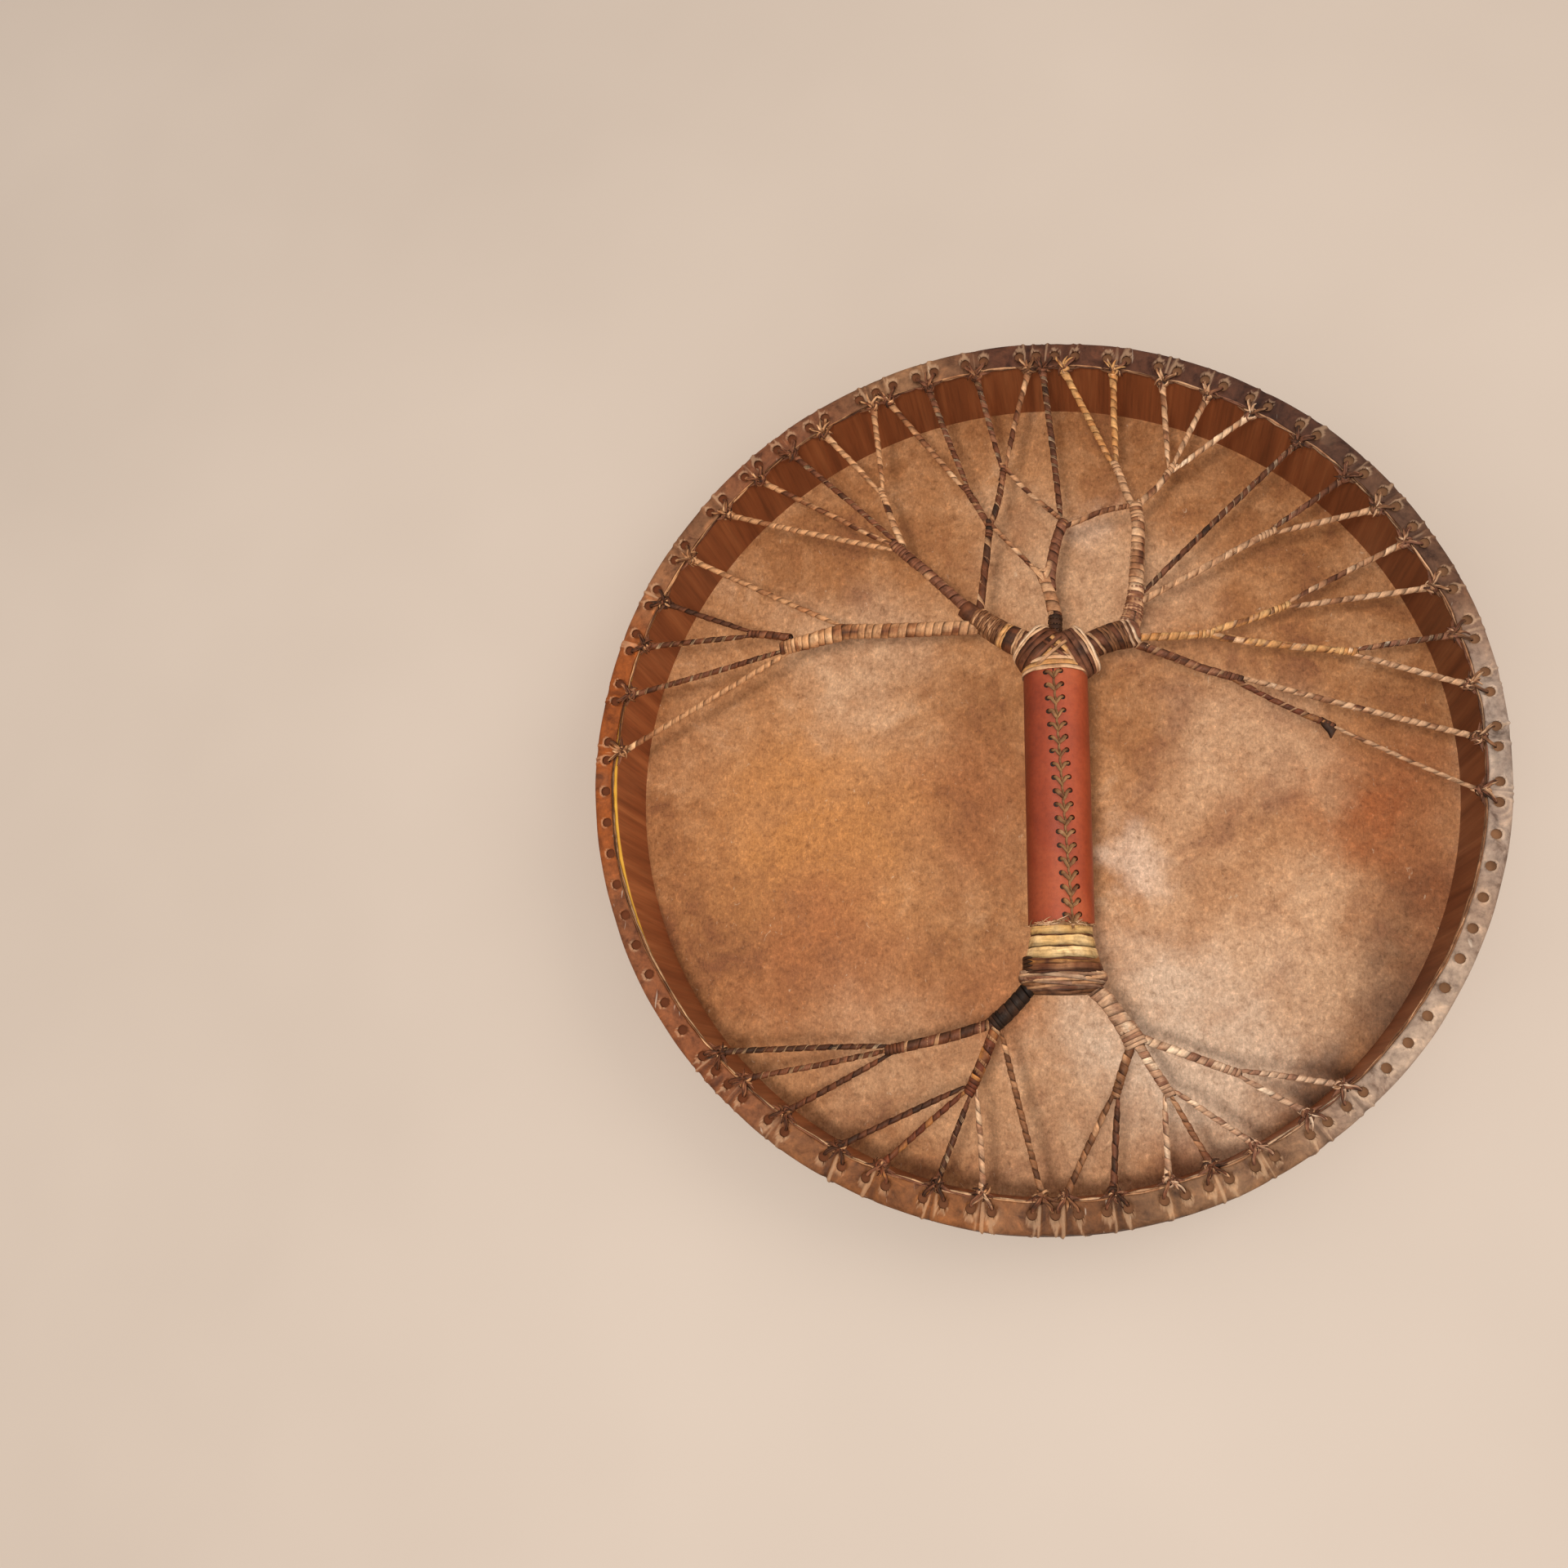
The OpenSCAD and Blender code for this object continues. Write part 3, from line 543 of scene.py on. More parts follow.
def wood_material():
    m, nt, shader, place = new_material("hoop_wood")
    x, _, z = axes(nt, place)
    streak = noise(nt, scaled(nt, place, (90.0, 90.0, 3.0)), 1.0, 6.0, 0.6, 0.5)
    broad = noise(nt, scaled(nt, place, (9.0, 9.0, 2.0)), 1.0, 3.0)
    pore = noise(nt, scaled(nt, place, (700.0, 700.0, 24.0)), 1.0, 3.0)
    colour = ramp(nt, streak, [(0.3, lin(118, 64, 36)), (0.5, lin(146, 82, 46)), (0.7, lin(170, 104, 62))])
    colour = times(nt, colour, ramp(nt, broad, [(0.3, 0.8), (0.7, 1.15)]))
    colour = times(nt, colour, ramp(nt, pore, [(0.3, 0.78), (0.5, 1.0), (0.7, 1.1)]))
    # painted shade: the wood darker and bluer on the drum's right; painted light: paler on its left
    colour = mixed(nt, ranged(nt, x, 0.12, 0.22, 0.0, 0.6), colour, times(nt, colour, (0.42, 0.44, 0.5)))
    colour = mixed(nt, ranged(nt, x, -0.2, -0.24, 0.0, 0.5), colour, times(nt, colour, (1.5, 1.45, 1.4)))
    # The top edge: dark where the hide's flap covers it, a bright rim of bare wood on the left
    top = ranged(nt, z, 0.0592, 0.0598, 0.0, 1.0)
    radius = add(nt, "ShaderNodeVectorMath", {0: scaled(nt, place, (1.0, 1.0, 0.0))},
                 operation="LENGTH").outputs["Value"]
    bare = math_node(nt, "MULTIPLY", ranged(nt, radius, 0.2415, 0.2411, 0.0, 1.0), top)
    left = math_node(nt, "MULTIPLY", ranged(nt, x, -0.208, -0.22, 0.0, 1.0), bare)
    seat = mixed(nt, ranged(nt, x, -0.16, 0.14, 0.0, 1.0), lin(104, 54, 28), lin(126, 88, 60))
    colour = mixed(nt, top, colour, times(nt, seat, ramp(nt, streak, [(0.3, 0.75), (0.7, 1.2)])))
    colour = mixed(nt, left, colour, mixed(nt, streak, lin(206, 142, 34), lin(240, 190, 80)))
    rough = math_node(nt, "MAXIMUM", ranged(nt, streak, 0.3, 0.7, 0.5, 0.36),
                      math_node(nt, "MULTIPLY", top, 0.95))
    dress(nt, shader, colour, rough, plus(nt, streak, 1.0, pore, 0.6), 0.4, 0.0003, 0.3)
    return m


def leather_material():
    m, nt, shader, place = new_material("grip_leather")
    cloud = noise(nt, place, 22.0, 5.0, 0.6, 0.5)
    cells = {"Vector": place, "Scale": 1500.0}
    grain = add(nt, "ShaderNodeTexVoronoi", cells, feature="DISTANCE_TO_EDGE").outputs["Distance"]
    fine = noise(nt, place, 420.0, 4.0)
    colour = ramp(nt, cloud, [(0.3, lin(138, 54, 27)), (0.5, lin(158, 65, 33)), (0.7, lin(172, 80, 43))])
    # across the sleeve: painted shade darkening it toward its left and right edges, and a pale band in its
    # right third that is painted sheen with some wear
    across = ranged(nt, axes(nt, place)[0], 0.0, 0.035, 0.0, 1.0)
    colour = times(nt, colour, ramp(nt, across, [
        (0.0, (0.5, 0.4, 0.36)), (0.2, (0.8, 0.76, 0.74)), (0.5, (1.0, 1.0, 1.0)),
        (0.78, (1.14, 1.22, 1.26)), (0.9, (1.04, 1.06, 1.06)), (1.0, (0.84, 0.8, 0.78))]))
    colour = times(nt, colour, ramp(nt, fine, [(0.3, 0.86), (0.5, 1.0), (0.7, 1.08)]))
    dress(nt, shader, colour, ranged(nt, cloud, 0.3, 0.7, 0.42, 0.56), plus(nt, grain, 1.5, fine, 0.6),
          0.3, 0.0003, 0.35)
    return m


def core_material():
    m, nt, shader, place = new_material("bundle_shadow")
    grain = noise(nt, scaled(nt, place, (300.0, 40.0, 300.0)), 1.0, 4.0)
    colour = ramp(nt, grain, [(0.3, lin(34, 22, 16)), (0.7, lin(78, 52, 36))])
    dress(nt, shader, colour, ranged(nt, grain, 0.3, 0.7, 0.6, 0.8), grain, 0.5, 0.0004)
    return m


def floor_material():
    m, nt, shader, place = new_material("pale_floor")
    soft = noise(nt, place, 3.0, 3.0)
    colour = ramp(nt, soft, [(0.3, lin(198, 181, 166)), (0.7, lin(205, 188, 173))])
    dress(nt, shader, colour, ranged(nt, soft, 0.3, 0.7, 0.55, 0.6), noise(nt, place, 180.0, 3.0), 0.05,
          0.0003)
    return m


RAWHIDE = rawhide_material("rawhide")
THONG = rawhide_material("seam_thong", rough=(0.42, 0.7))
HIDE_IN, HIDE_OUT = hide_inside_material(), hide_outside_material()
WOOD, LEATHER, CORE = wood_material(), leather_material(), core_material()

# ---------------------------------------------------------------- the branches and laces
# Limbs: node, palette, pitch of the wraps, and one or more routes of (x, y, diameter)
LIMBS = (
    ("crown_left_low_branch", "cream", 5.0,
     [(-27, 79, 8.6), (-50, 79.3, 8.6), (-72, 79.5, 8.8), (-100, 80.3, 9), (-105, 80, 10.2),
      (-122, 76, 9.2), (-139.5, 72, 8.5)]),
    ("crown_left_low_twig", "brown", 4.5,
     [(-136, 78.5, 5), (-149, 80.8, 4.8), (-160, 82, 4.8)]),
    ("crown_left_high_branch", "mauve", 4.2,
     [(-27, 86, 7), (-42.5, 101.5, 6.4), (-55.5, 114.7, 6.4), (-74, 132, 6.6)]),
    ("crown_left_high_twig", "cream", 5.5,
     [(-69, 132, 4), (-75, 147.5, 4), (-82, 168, 4.4)]),
    ("crown_left_inner_branch", "dark", 12.0,
     [(-25, 84, 5), (-21.5, 111, 4.5), (-18.6, 135, 4.5), (-18.5, 143, 5)]),
    ("crown_left_inner_twigs", "brown", 6.0,
     [(-18.8, 140, 3), (-22.5, 148, 4), (-32, 165.5, 4.2)],
     [(-18.2, 140, 3), (-15, 148, 4), (-11.8, 160.5, 4), (-9.3, 177, 4.2)]),
    ("crown_cross_ties", "tan", 5.5,
     [(-9.6, 177, 3), (4.5, 159.5, 3), (22.8, 141.5, 3)],
     [(-18.4, 142, 3), (-4, 125.3, 2.8), (11, 107.5, 3)],
     [(24, 136.6, 3.2), (36, 141.2, 3.4), (47, 145, 3.4), (63, 147.4, 3.4)]),
    ("crown_right_high_branch", "cream", 4.4,
     [(55, 70, 11.5), (59.5, 78, 12.2), (61.8, 87, 10.6), (63, 96, 9.2), (63.6, 104, 8.8),
      (64.7, 119, 8.2), (65.6, 136, 7.6), (64.4, 148, 7.4)]),
    ("crown_right_high_twigs", "cream", 5.5,
     [(64.2, 144, 3.4), (60.5, 153, 4.5), (57, 164, 4.5), (53.3, 174.3, 4.8)],
     [(64.8, 145, 3.4), (70.5, 151.5, 4), (77.2, 157.4, 4), (86.5, 170, 4.4)]),
    ("crown_right_upper_branch", "cream", 7.5,
     [(61, 87, 4.2), (75, 94.5, 4), (97, 105.5, 4), (123, 119, 4), (139, 127, 4.3)]),
    ("crown_right_middle_branch", "ochre", 4.6,
     [(58, 68.6, 4.8), (84.6, 68.2, 4.7), (104.5, 68.9, 5)]),
    ("crown_right_middle_twigs", "ochre", 6.5,
     [(102, 69.2, 3.4), (109, 71.8, 4), (124, 75.8, 4), (145, 83.5, 4.3)],
     [(102, 68.4, 3.4), (109, 66, 4.2), (126.3, 62.4, 4.2), (152.6, 58, 4.2), (178, 54.2, 4.4)]),
    ("crown_right_low_branch", "brown", 6.0,
     [(58, 66.4, 5), (84, 55.1, 4.8), (97.3, 48.8, 4.8), (118, 41.4, 4.8)]),
    ("crown_right_low_twig", "red", 7.0,
     [(114, 41.8, 3.2), (120, 37.6, 3.2), (139.2, 25.9, 3.2), (163.7, 13.2, 4.2)]),
    ("root_right_bough", "blush", 4.8,
     [(30, -124, 9), (40, -133, 9.4), (47, -143, 10), (52, -151, 12), (55, -156.5, 13.6)]),
    ("root_right_low_branch", "blush", 4.6,
     [(52, -150, 5), (60, -153.6, 5), (82.3, -161.8, 4.8), (106.5, -170.5, 5)]),
    ("root_right_middle_branch", "blush", 4.0,
     [(53, -151, 5.6), (55.7, -156.1, 5.6), (63.4, -169.2, 5.8), (71, -181.5, 6.2)]),
    ("root_right_inner_branch", "umber", 4.6,
     [(52.5, -153, 5), (51, -158.8, 5), (46.8, -171, 5), (43, -183, 5)]),
    ("root_left_bough", "soot", 4.8,
     [(1, -124, 9.2), (-9, -135.7, 9.6), (-20, -146, 10)]),
    ("root_left_inner_branch", "red", 6.0,
     [(-17, -143, 6), (-26, -165.7, 6.4), (-33.5, -182, 6.6)]),
    ("root_left_low_branch", "dark", 7.0,
     [(-17, -144, 6), (-41, -151.6, 6.2), (-60.7, -156.2, 6), (-78, -160, 6.2)]),
)

# Laces: node: one or more forks of (x, y, heading, diameter, [(rim angle, palette) of each lace])
FANS = {
    "left_low_laces": ((-139, 69.5, 195, 3.8, [(177, "cream"), (168.5, "brown")]),),
    "left_mid_laces": ((-160, 82, 174, 3.8, [(161, "dark"), (154, "black")]),),
    "left_single_lace": ((-108, 85.6, 150, 3.8, [(146.5, "cream")]),),
    "left_high_laces": ((-74, 132, 137, 3.8, [(138, "cream"), (131, "tan"), (125, "brown")]),),
    "top_left_laces": ((-82, 168, 108, 3.8, [(119.5, "cream"), (111.5, "cream")]),),
    "top_inner_laces": ((-32, 165.5, 118, 3.8, [(109, "tan"), (103, "brown")]),),
    "top_middle_laces": ((-9.3, 177, 82, 3.8, [(96, "brown"), (88.5, "tan")]),),
    "top_single_lace": ((22.6, 141.2, 95, 4.1, [(86.5, "dark")]),),
    "top_ochre_laces": ((53.3, 174.3, 105, 4.2, [(83.5, "ochre"), (76.5, "ochre")]),),
    "top_right_laces": ((86.5, 170, 53, 3.8, [(69.5, "cream"), (63, "cream"), (56.5, "pale")]),),
    "right_single_lace": ((67.6, 95.4, 45, 3.8, [(49, "dark")]),),
    "right_high_laces": ((139, 127, 27, 3.8, [(41, "brown"), (35, "cream")]),),
    "right_mid_laces": ((145, 83.5, 20, 3.8, [(29, "tan"), (22, "cream")]),),
    "right_low_laces": ((178, 54.2, -8, 3.8, [(15, "brown"), (8, "cream")]),),
    "right_lowest_laces": ((116.4, 43.4, -4, 3.8, [(1, "cream")]), (163.9, 13.1, -28, 2.8, [(-6, "cream")])),
    "root_right_laces": ((106.5, -170.5, -20, 3.8, [(-48.5, "blush"), (-54, "blush")]),),
    "root_right_middle_laces": ((71, -181.5, -58, 3.8, [(-61.5, "blush"), (-67.5, "tan"), (-73, "blush")]),),
    "root_right_inner_laces": ((43, -183, -108, 4.0, [(-80, "dark"), (-86, "umber")]),),
    "root_single_lace": ((-15.6, -150.4, -75, 3.8, [(-89, "umber")]),),
    "root_left_inner_laces": ((-33.5, -182, -115, 3.8,
                               [(-96.5, "blush"), (-102.5, "dark"), (-110, "red"), (-116, "dark")]),),
    "root_left_laces": ((-78, -160, -168, 3.8, [(-124.5, "dark"), (-131.5, "brown"), (-136.5, "black")]),),
}
LACES = [lace for forks in FANS.values() for fork in forks for lace in fork[4]]
ANGLES = [a for a, _ in LACES]
LIGHT_LINES = {168.5, 161, -102.5, 49, -136.5, 86.5}


def flat_path(points, flat=1.0):
    """A route through [x, y, radius] at the height of the laces."""
    return Path([(x, y, LACE_Z, r) for x, y, r in points], flat)


def trunk_path(stations, flat=1.0):
    """A route down the middle of the grip through [y, radius]."""
    return flat_path([(GRIP_X, y, r) for y, r in stations], flat)


def limb_path(route, z=LACE_Z):
    """A route through [x, y, diameter]."""
    return Path([(x, y, z, d / 2) for x, y, d in route])


def limb(node, routes, palette, pitch):
    build = Build()
    for k, route in enumerate(routes):
        seed = f"{node} {k}"
        path = limb_path(route)
        end = path.length
        core(build, path, 0, end + 0.4, 0.75, palette, seed)
        rise = 0.62 if route[0][2] > 6 else 0.5
        cuff = min(9.0, end * 0.2)
        wind(build, path, -0.5, end - cuff, pitch, rise, palette, seed, patch=5.5 * pitch, gain=1.05)
        wind(build, path, end - cuff - 1, end + 0.8, 2.1, rise + 0.15, palette, seed + " cuff",
             patch=34, gain=0.8, spread=0.1)
        if node == "crown_right_high_branch":
            wind(build, path, -1, 30, 1.9, rise + 0.35, "mauve", seed + " foot", patch=40, gain=0.8)
        if node == "crown_right_low_twig":            # the dark stub of a cut strip
            stub = [(157, 17.5, LACE_Z), (160.5, 14, LACE_Z + 0.5), (162.5, 10.5, LACE_Z), (162, 7, LACE_Z)]
            strip(build, stub, [3.2, 5.4, 4.4, 0.8], 3.2, "dark", "stub", value=0.3)
        if pitch > 5.5:                               # a thin light line over a loose wrap
            wind(build, path, 4, end - cuff, pitch * 0.8, rise + 0.2, "cream", seed + " line",
                 patch=30, gain=0.9, cover=0.13)
    build.piece(node + "_wraps", node, RAWHIDE)


def rim_point(angle, radius, z):
    a = math.radians(angle)
    return np.array([radius * math.cos(a), radius * math.sin(a), z])


def fan(node, forks):
    build = Build()
    for fx, fy, heading, d, laces in forks:
        for k, (angle, palette) in enumerate(laces):
            seed = f"{node} {angle}"
            off = ((len(laces) - 1) / 2 - k) * 2.2
            h = math.radians(heading)
            start = np.array([fx - off * math.sin(h) - 2 * math.cos(h),
                              fy + off * math.cos(h) - 2 * math.sin(h),
                              LACE_Z])
            stop = rim_point(angle, KNOT_R, KNOT_Z)
            v = stop - start
            length = np.linalg.norm(v)
            bow = np.cross(v / length, UP) * ripple(angle, node, 40) * min(1.2, length * 0.012)
            at = [0, 6 / length, 14 / length, 0.5, 1 - 9 / length, 1 - 4 / length, 1.0]
            radii = [0.5, 0.75, 0.95, 1.0, 1.0, 1.22, 1.6]
            path = Path([tuple(start + v * t + bow * math.sin(t * math.pi)) + (r * d * 0.46,)
                         for t, r in zip(at, radii)])
            core(build, path, 0, path.length, 0.5, palette, seed, sides=10)
            pitch = 4.9 + 1.7 * random.Random(seed).random()
            wind(build, path, 0, path.length, pitch, 0.62, palette, seed, patch=46, gain=0.75, cover=0.55)
            if angle in LIGHT_LINES or palette == "brown":
                wind(build, path, 3, path.length - 3, pitch * 0.93, 0.6, "pale", seed + " line",
                     patch=40, gain=1.0, cover=0.1)
    build.piece(node + "_wraps", node, RAWHIDE)


for node, palette, pitch, *routes in LIMBS:
    limb(node, routes, palette, pitch)
for node, forks in FANS.items():
    fan(node, forks)


# The middle branch: a dark tie at its root, a pale length up to the hooked end of a cross tie, then brown
build = Build()
stem = limb_path([(18, 70, 7), (18, 79, 8.4), (17.6, 86, 8.0), (15, 98, 7.2), (12.8, 106, 7.6),
                  (11.6, 111, 9.2)])
core(build, stem, 0, stem.length, 0.5, "cream", "stem")
wind(build, stem, 1, 15, 2.6, 0.7, "black", "stem tie", patch=30)
wind(build, stem, 14, stem.length, 6.0, 0.4, "cream", "stem wrap", patch=70, gain=0.6, bias=-0.05)
upper = limb_path([(16.6, 98, 5.4), (15.6, 106, 6.6), (17.2, 117.5, 6.5), (19.8, 128.8, 6.3),
                   (24, 140.5, 6.6)],
                  LACE_Z - 0.6)
core(build, upper, 0, upper.length, 0.5, "brown", "upper")
wind(build, upper, 0, upper.length, 5.0, 0.45, "mauve", "upper wrap", patch=24, gain=0.9, bias=-0.1)
wind(build, upper, upper.length - 4, upper.length + 1, 1.8, 0.8, "tan", "upper tie", patch=20)
for k, side in enumerate((-1, 1)):                # the hook: two horns of the pale strip
    horn = [(12.6, 104, LACE_Z + 3), (12 + 1.6 * side, 108, LACE_Z + 3.4),
            (11.4 + 4.0 * side, 111.6, LACE_Z + 2.4), (11 + 6.4 * side, 113.6, LACE_Z + 1)]
    strip(build, horn, [2.0, 4.4, 3.2, 0.5], 0.9, "cream", f"horn {k}", value=0.75)
build.piece("crown_centre_branch_wraps", "crown_centre_branch", RAWHIDE)


def bough(node, path, items, seed, tilt=0.0, phase=0.0):
    """A thick limb under turns laid square to it."""
    build = Build()
    core(build, path, 0, path.length + 0.5, 0.4, "brown", seed, sides=20)
    bands(build, path, 0, items, seed, tilt, phase)
    build.piece(node + "_wraps", node, RAWHIDE)


def thin(count, width, rise, palette, low, high, seed):
    """A run of narrow turns, each a little different."""
    rng = random.Random(seed)
    return [(width * rng.uniform(0.8, 1.2), rise * rng.uniform(0.7, 1.2), palette, rng.uniform(low, high))
            for _ in range(count)]


left = flat_path([(3, 66, 7.6), (-8, 71.5, 7.1), (-19, 79, 6.6), (-28, 86, 6.2), (-33, 90.5, 5.6)])
items = (thin(2, 1.7, 0.5, "cream", 0.6, 1.0, 1) + [(1.6, 0.4, "brown", 0.5)]
         + thin(2, 1.5, 0.5, "cream", 0.5, 0.9, 2)
         + [(5.4, 0.7, "brown", 0.25), (1.5, 0.5, "ochre", 0.5), (2.2, 0.6, "ochre", 0.7)]
         + thin(9, 1.25, 0.5, "umber", 0.3, 0.95, 3) + thin(7, 1.2, 0.5, "umber", 0.3, 1.0, 4))
bough("crown_left_bough", left, items, "left bough", tilt=0.6)

right = flat_path([(33, 62.5, 7.2), (42, 67, 7.2), (52, 70, 7.6), (61, 71.4, 7.8), (63.5, 72, 5.5)])
items = (thin(2, 1.8, 0.5, "brown", 0.6, 0.95, 5)
         + [(3.0, 0.5, "brown", 0.45), (1.8, 0.6, "cream", 0.6), (4.2, 0.6, "brown", 0.4)]
         + thin(3, 1.7, 0.5, "umber", 0.2, 0.7, 6) + [(3.0, 0.6, "brown", 0.35)]
         + thin(3, 1.6, 0.5, "umber", 0.3, 0.8, 7)
         + [(1.5, 0.6, "blush", 0.55), (1.2, 0.4, "umber", 0.3), (1.5, 0.7, "blush", 0.75)])
bough("crown_right_bough", right, items, "right bough", tilt=2.4, phase=math.pi / 2)

# The trunk's head: a stub of the bundle, crossed wraps over the shoulders, and a collar
build = Build()
stub = flat_path([(GRIP_X, 50, 16), (GRIP_X, 56, 16), (GRIP_X + 1, 63, 14), (GRIP_X + 1.5, 70, 8)])
core(build, stub, 0, stub.length, 0.0, "brown", "stub", sides=24)
shoulder = flat_path([(14.5, 56.5, 15.4), (8.5, 62.5, 14.2), (3, 68.2, 11.6), (-2, 72.5, 8.5)], 1.08)
bands(build, shoulder, 0, [(1.8, 0.7, "ochre", 0.5), (1.3, 0.7, "cream", 0.6), (4.2, 0.9, "brown", 0.3),
                           (3.6, 1.0, "brown", 0.45),
                           (2.8, 1.0, "dark", 0.7), (1.7, 1.5, "pale", 0.55),
                           (1.6, 1.6, "pale", 0.85)], "left shoulder", 0.5)
build.piece("left_shoulder_wraps", "left_shoulder_binding", RAWHIDE)

build = Build()
shoulder = flat_path([(24, 57.2, 14.8), (29.5, 60.4, 14.0), (35.8, 64, 12.6), (40, 66.5, 9)], 1.08)
bands(build, shoulder, 0, [(1.4, 0.8, "cream", 0.4), (3.4, 1.0, "dark", 0.85), (3.6, 1.1, "grey", 0.12),
                           (2.0, 1.1, "grey", 0.3),
                           (1.6, 1.6, "pale", 0.5), (1.5, 1.7, "pale", 0.8)], "right shoulder", 0.5)
build.piece("right_shoulder_wraps", "right_shoulder_binding", RAWHIDE)

build = Build()
collar = trunk_path([(46.6, 18.3), (49.4, 18.2), (50.5, 17.6), (54, 17.6), (57.5, 16.2)])
core(build, collar, 2.6, collar.length, 0.2, "ochre", "collar", sides=36)
bands(build, collar, 0.4, [(2.4, 0.5, "pale", 0.45), (2.8, 0.9, "ochre", 0.7), (2.6, 0.9, "pale", 0.5),
                           (2.4, 0.6, "cream", 0.55)], "collar", 0.6, 0.4)


def over_trunk(a, b, lift, radius=16.6):
    """A line from a to b, both [x, y], laid on the front of the trunk's head."""
    points = [(a[0] + (b[0] - a[0]) * t, a[1] + (b[1] - a[1]) * t) for t in np.linspace(0, 1, 9)]
    return [(x, y, LACE_Z + lift + math.sqrt(max(radius ** 2 - (x - GRIP_X) ** 2, 4))) for x, y in points]


for k, (a, b, width, palette, value) in enumerate([
        ((31, 52), (16, 66), 2.6, "ochre", 0.6), ((28, 50), (12, 64), 2.0, "brown", 0.5),
        ((4, 51.5), (21, 66), 2.4, "brown", 0.6), ((8, 50), (24, 63), 2.0, "cream", 0.5)]):
    strip(build, over_trunk(a, b, 1.0 + 0.35 * k), width, 1.0, palette, f"cross {k}", value=value)
build.piece("trunk_collar_wraps", "trunk_collar", RAWHIDE)

# Below the sleeve: throat, waist and the flattened base
build = Build()
throat = trunk_path([(-91, 15.6), (-98, 16), (-104, 17), (-112, 18.8)])
core(build, throat, 0, throat.length, 0.2, "ochre", "throat", sides=36)
bands(build, throat, 0.4, [(2.2, 0.7, "cream", 0.6), (4.6, 0.8, "straw", 0.45), (0.9, 0.5, "brown", 0.4),
                           (5.4, 1.0, "straw", 0.6), (0.8, 0.3, "brown", 0.3), (5.6, 1.1, "straw", 0.8),
                           (1.2, 0.5, "brown", 0.5)], "throat", 0.5)
rng = random.Random("fray")
for k in range(46):                               # frayed ends over the foot of the leather
    a0 = rng.uniform(0.12, 0.88) * math.pi
    da, rise = rng.choice((-1, 1)) * rng.uniform(0.1, 0.55), rng.uniform(-1.5, 5.5) * rng.random()
    lift = rng.uniform(0.2, 1.6)
    pts = []
    for t in np.linspace(0, 1, 7):
        a = a0 + da * t
        r = GRIP_RADIUS + 0.4 + lift * math.sin(t * 2.2)
        y = GRIP_BOTTOM - 1.2 + rise * t + rng.uniform(-0.25, 0.25)
        pts.append((GRIP_X + r * math.cos(a), y, LACE_Z + r * math.sin(a)))
    strip(build, pts, [0.7, 0.65, 0.6, 0.55, 0.5, 0.4, 0.15], 0.35, rng.choice(("cream", "pale", "olive")),
          f"fray {k}", value=0.65)
build.piece("throat_wraps", "throat_binding", RAWHIDE)


build = Build()
waist = trunk_path([(-109.5, 18.5), (-114.25, 20), (-119, 21.5)], 32 / 37)
core(build, waist, 0, waist.length, 0.2, "brown", "waist", sides=36)
bands(build, waist, 0.6, [(3.9, 0.9, "ochre", 0.18), (3.6, 1.0, "tan", 0.42), (1.3, 0.6, "dark", 0.5)],
      "waist", 0.6, 1.0)
for k in range(4):                                # dark strips over its left end
    pts = [(GRIP_X - 20.6 + 1.3 * t * t * 6, -111.5 - 2.1 * k + 0.5 * math.sin(3 * t), LACE_Z + 3 + 13 * t)
           for t in np.linspace(-0.3, 0.8, 8)]
    strip(build, pts, [0.6, 1.8, 2.2, 2.3, 2.2, 2.0, 1.6, 0.5], 1.0, "black", f"dark end {k}",
          [(-1, 0, 0.5)] * 8, value=0.3)
build.piece("waist_wraps", "waist_binding", RAWHIDE)

build = Build()
BASE = [(-117.5, 21), (-120.5, 22.6), (-125, 20.5), (-129.5, 14.5)]
base = trunk_path(BASE, 0.7)
core(build, base, 0, base.length, 0.2, "umber", "base", sides=36)
bands(build, base, 0.0, [(2.8, 1.2, "blush", 0.45), (2.6, 1.3, "grey", 0.3), (2.2, 1.0, "umber", 0.6),
                         (2.6, 1.0, "grey", 0.3), (1.8, 0.8, "umber", 0.4)], "base", 1.1, 0.6)
for k, (ya, yb, width, palette, value) in enumerate([      # strips lapped across it from side to side
        (-118.5, -123, 2.6, "grey", 0.6), (-124.5, -120, 2.2, "pale", 0.35), (-121, -127, 2.4, "grey", 0.45),
        (-126.5, -124, 2.0, "cream", 0.4), (-119.5, -119, 1.6, "pale", 0.55)]):
    pts = []
    for t in np.linspace(0.06, 0.94, 15):
        y = ya + (yb - ya) * t + 0.7 * math.sin(6 * t + k)
        r = np.interp(-y, [117, 120.5, 125, 129.5], [r for _, r in BASE]) + 1.0
        a = math.pi * (1 - t)
        pts.append((GRIP_X + r * math.cos(a), y, LACE_Z + (r * 0.7 + 0.6) * math.sin(a)))
    normals = [(p[0] - GRIP_X, 0, (p[2] - LACE_Z) * 1.4) for p in pts]
    strip(build, pts, width, 1.0, palette, f"lap {k}", normals, value=value)
build.piece("base_wraps", "base_binding", RAWHIDE)


# ---------------------------------------------------------------- rim: holes, edge, knots and cord
def gap_after(i):
    i %= len(ANGLES)
    return ANGLES[i] - ANGLES[i + 1] if i < len(ANGLES) - 1 else 360 + ANGLES[i] - ANGLES[0]


def holes_after(i):
    gap, a = gap_after(i), ANGLES[i]
    if gap < SHARED_GAP:
        return [a - gap / 2]
    clear = gap - 2 * HOLE_STEP
    spares = round(clear / 4.2) if gap > WIDE_GAP else 1
    return [a - HOLE_STEP - clear * k / spares for k in range(spares + 1)]


HOLES = [h for i in range(len(ANGLES)) for h in holes_after(i)]


def turned_by(theta, centre):
    """Signed degrees from centre to theta, the short way."""
    return (np.asarray(theta) - centre + 180) % 360 - 180


def along_rim(theta, centre):
    """The same in millimetres at the holes."""
    return turned_by(theta, centre) * HOLE_R * math.pi / 180


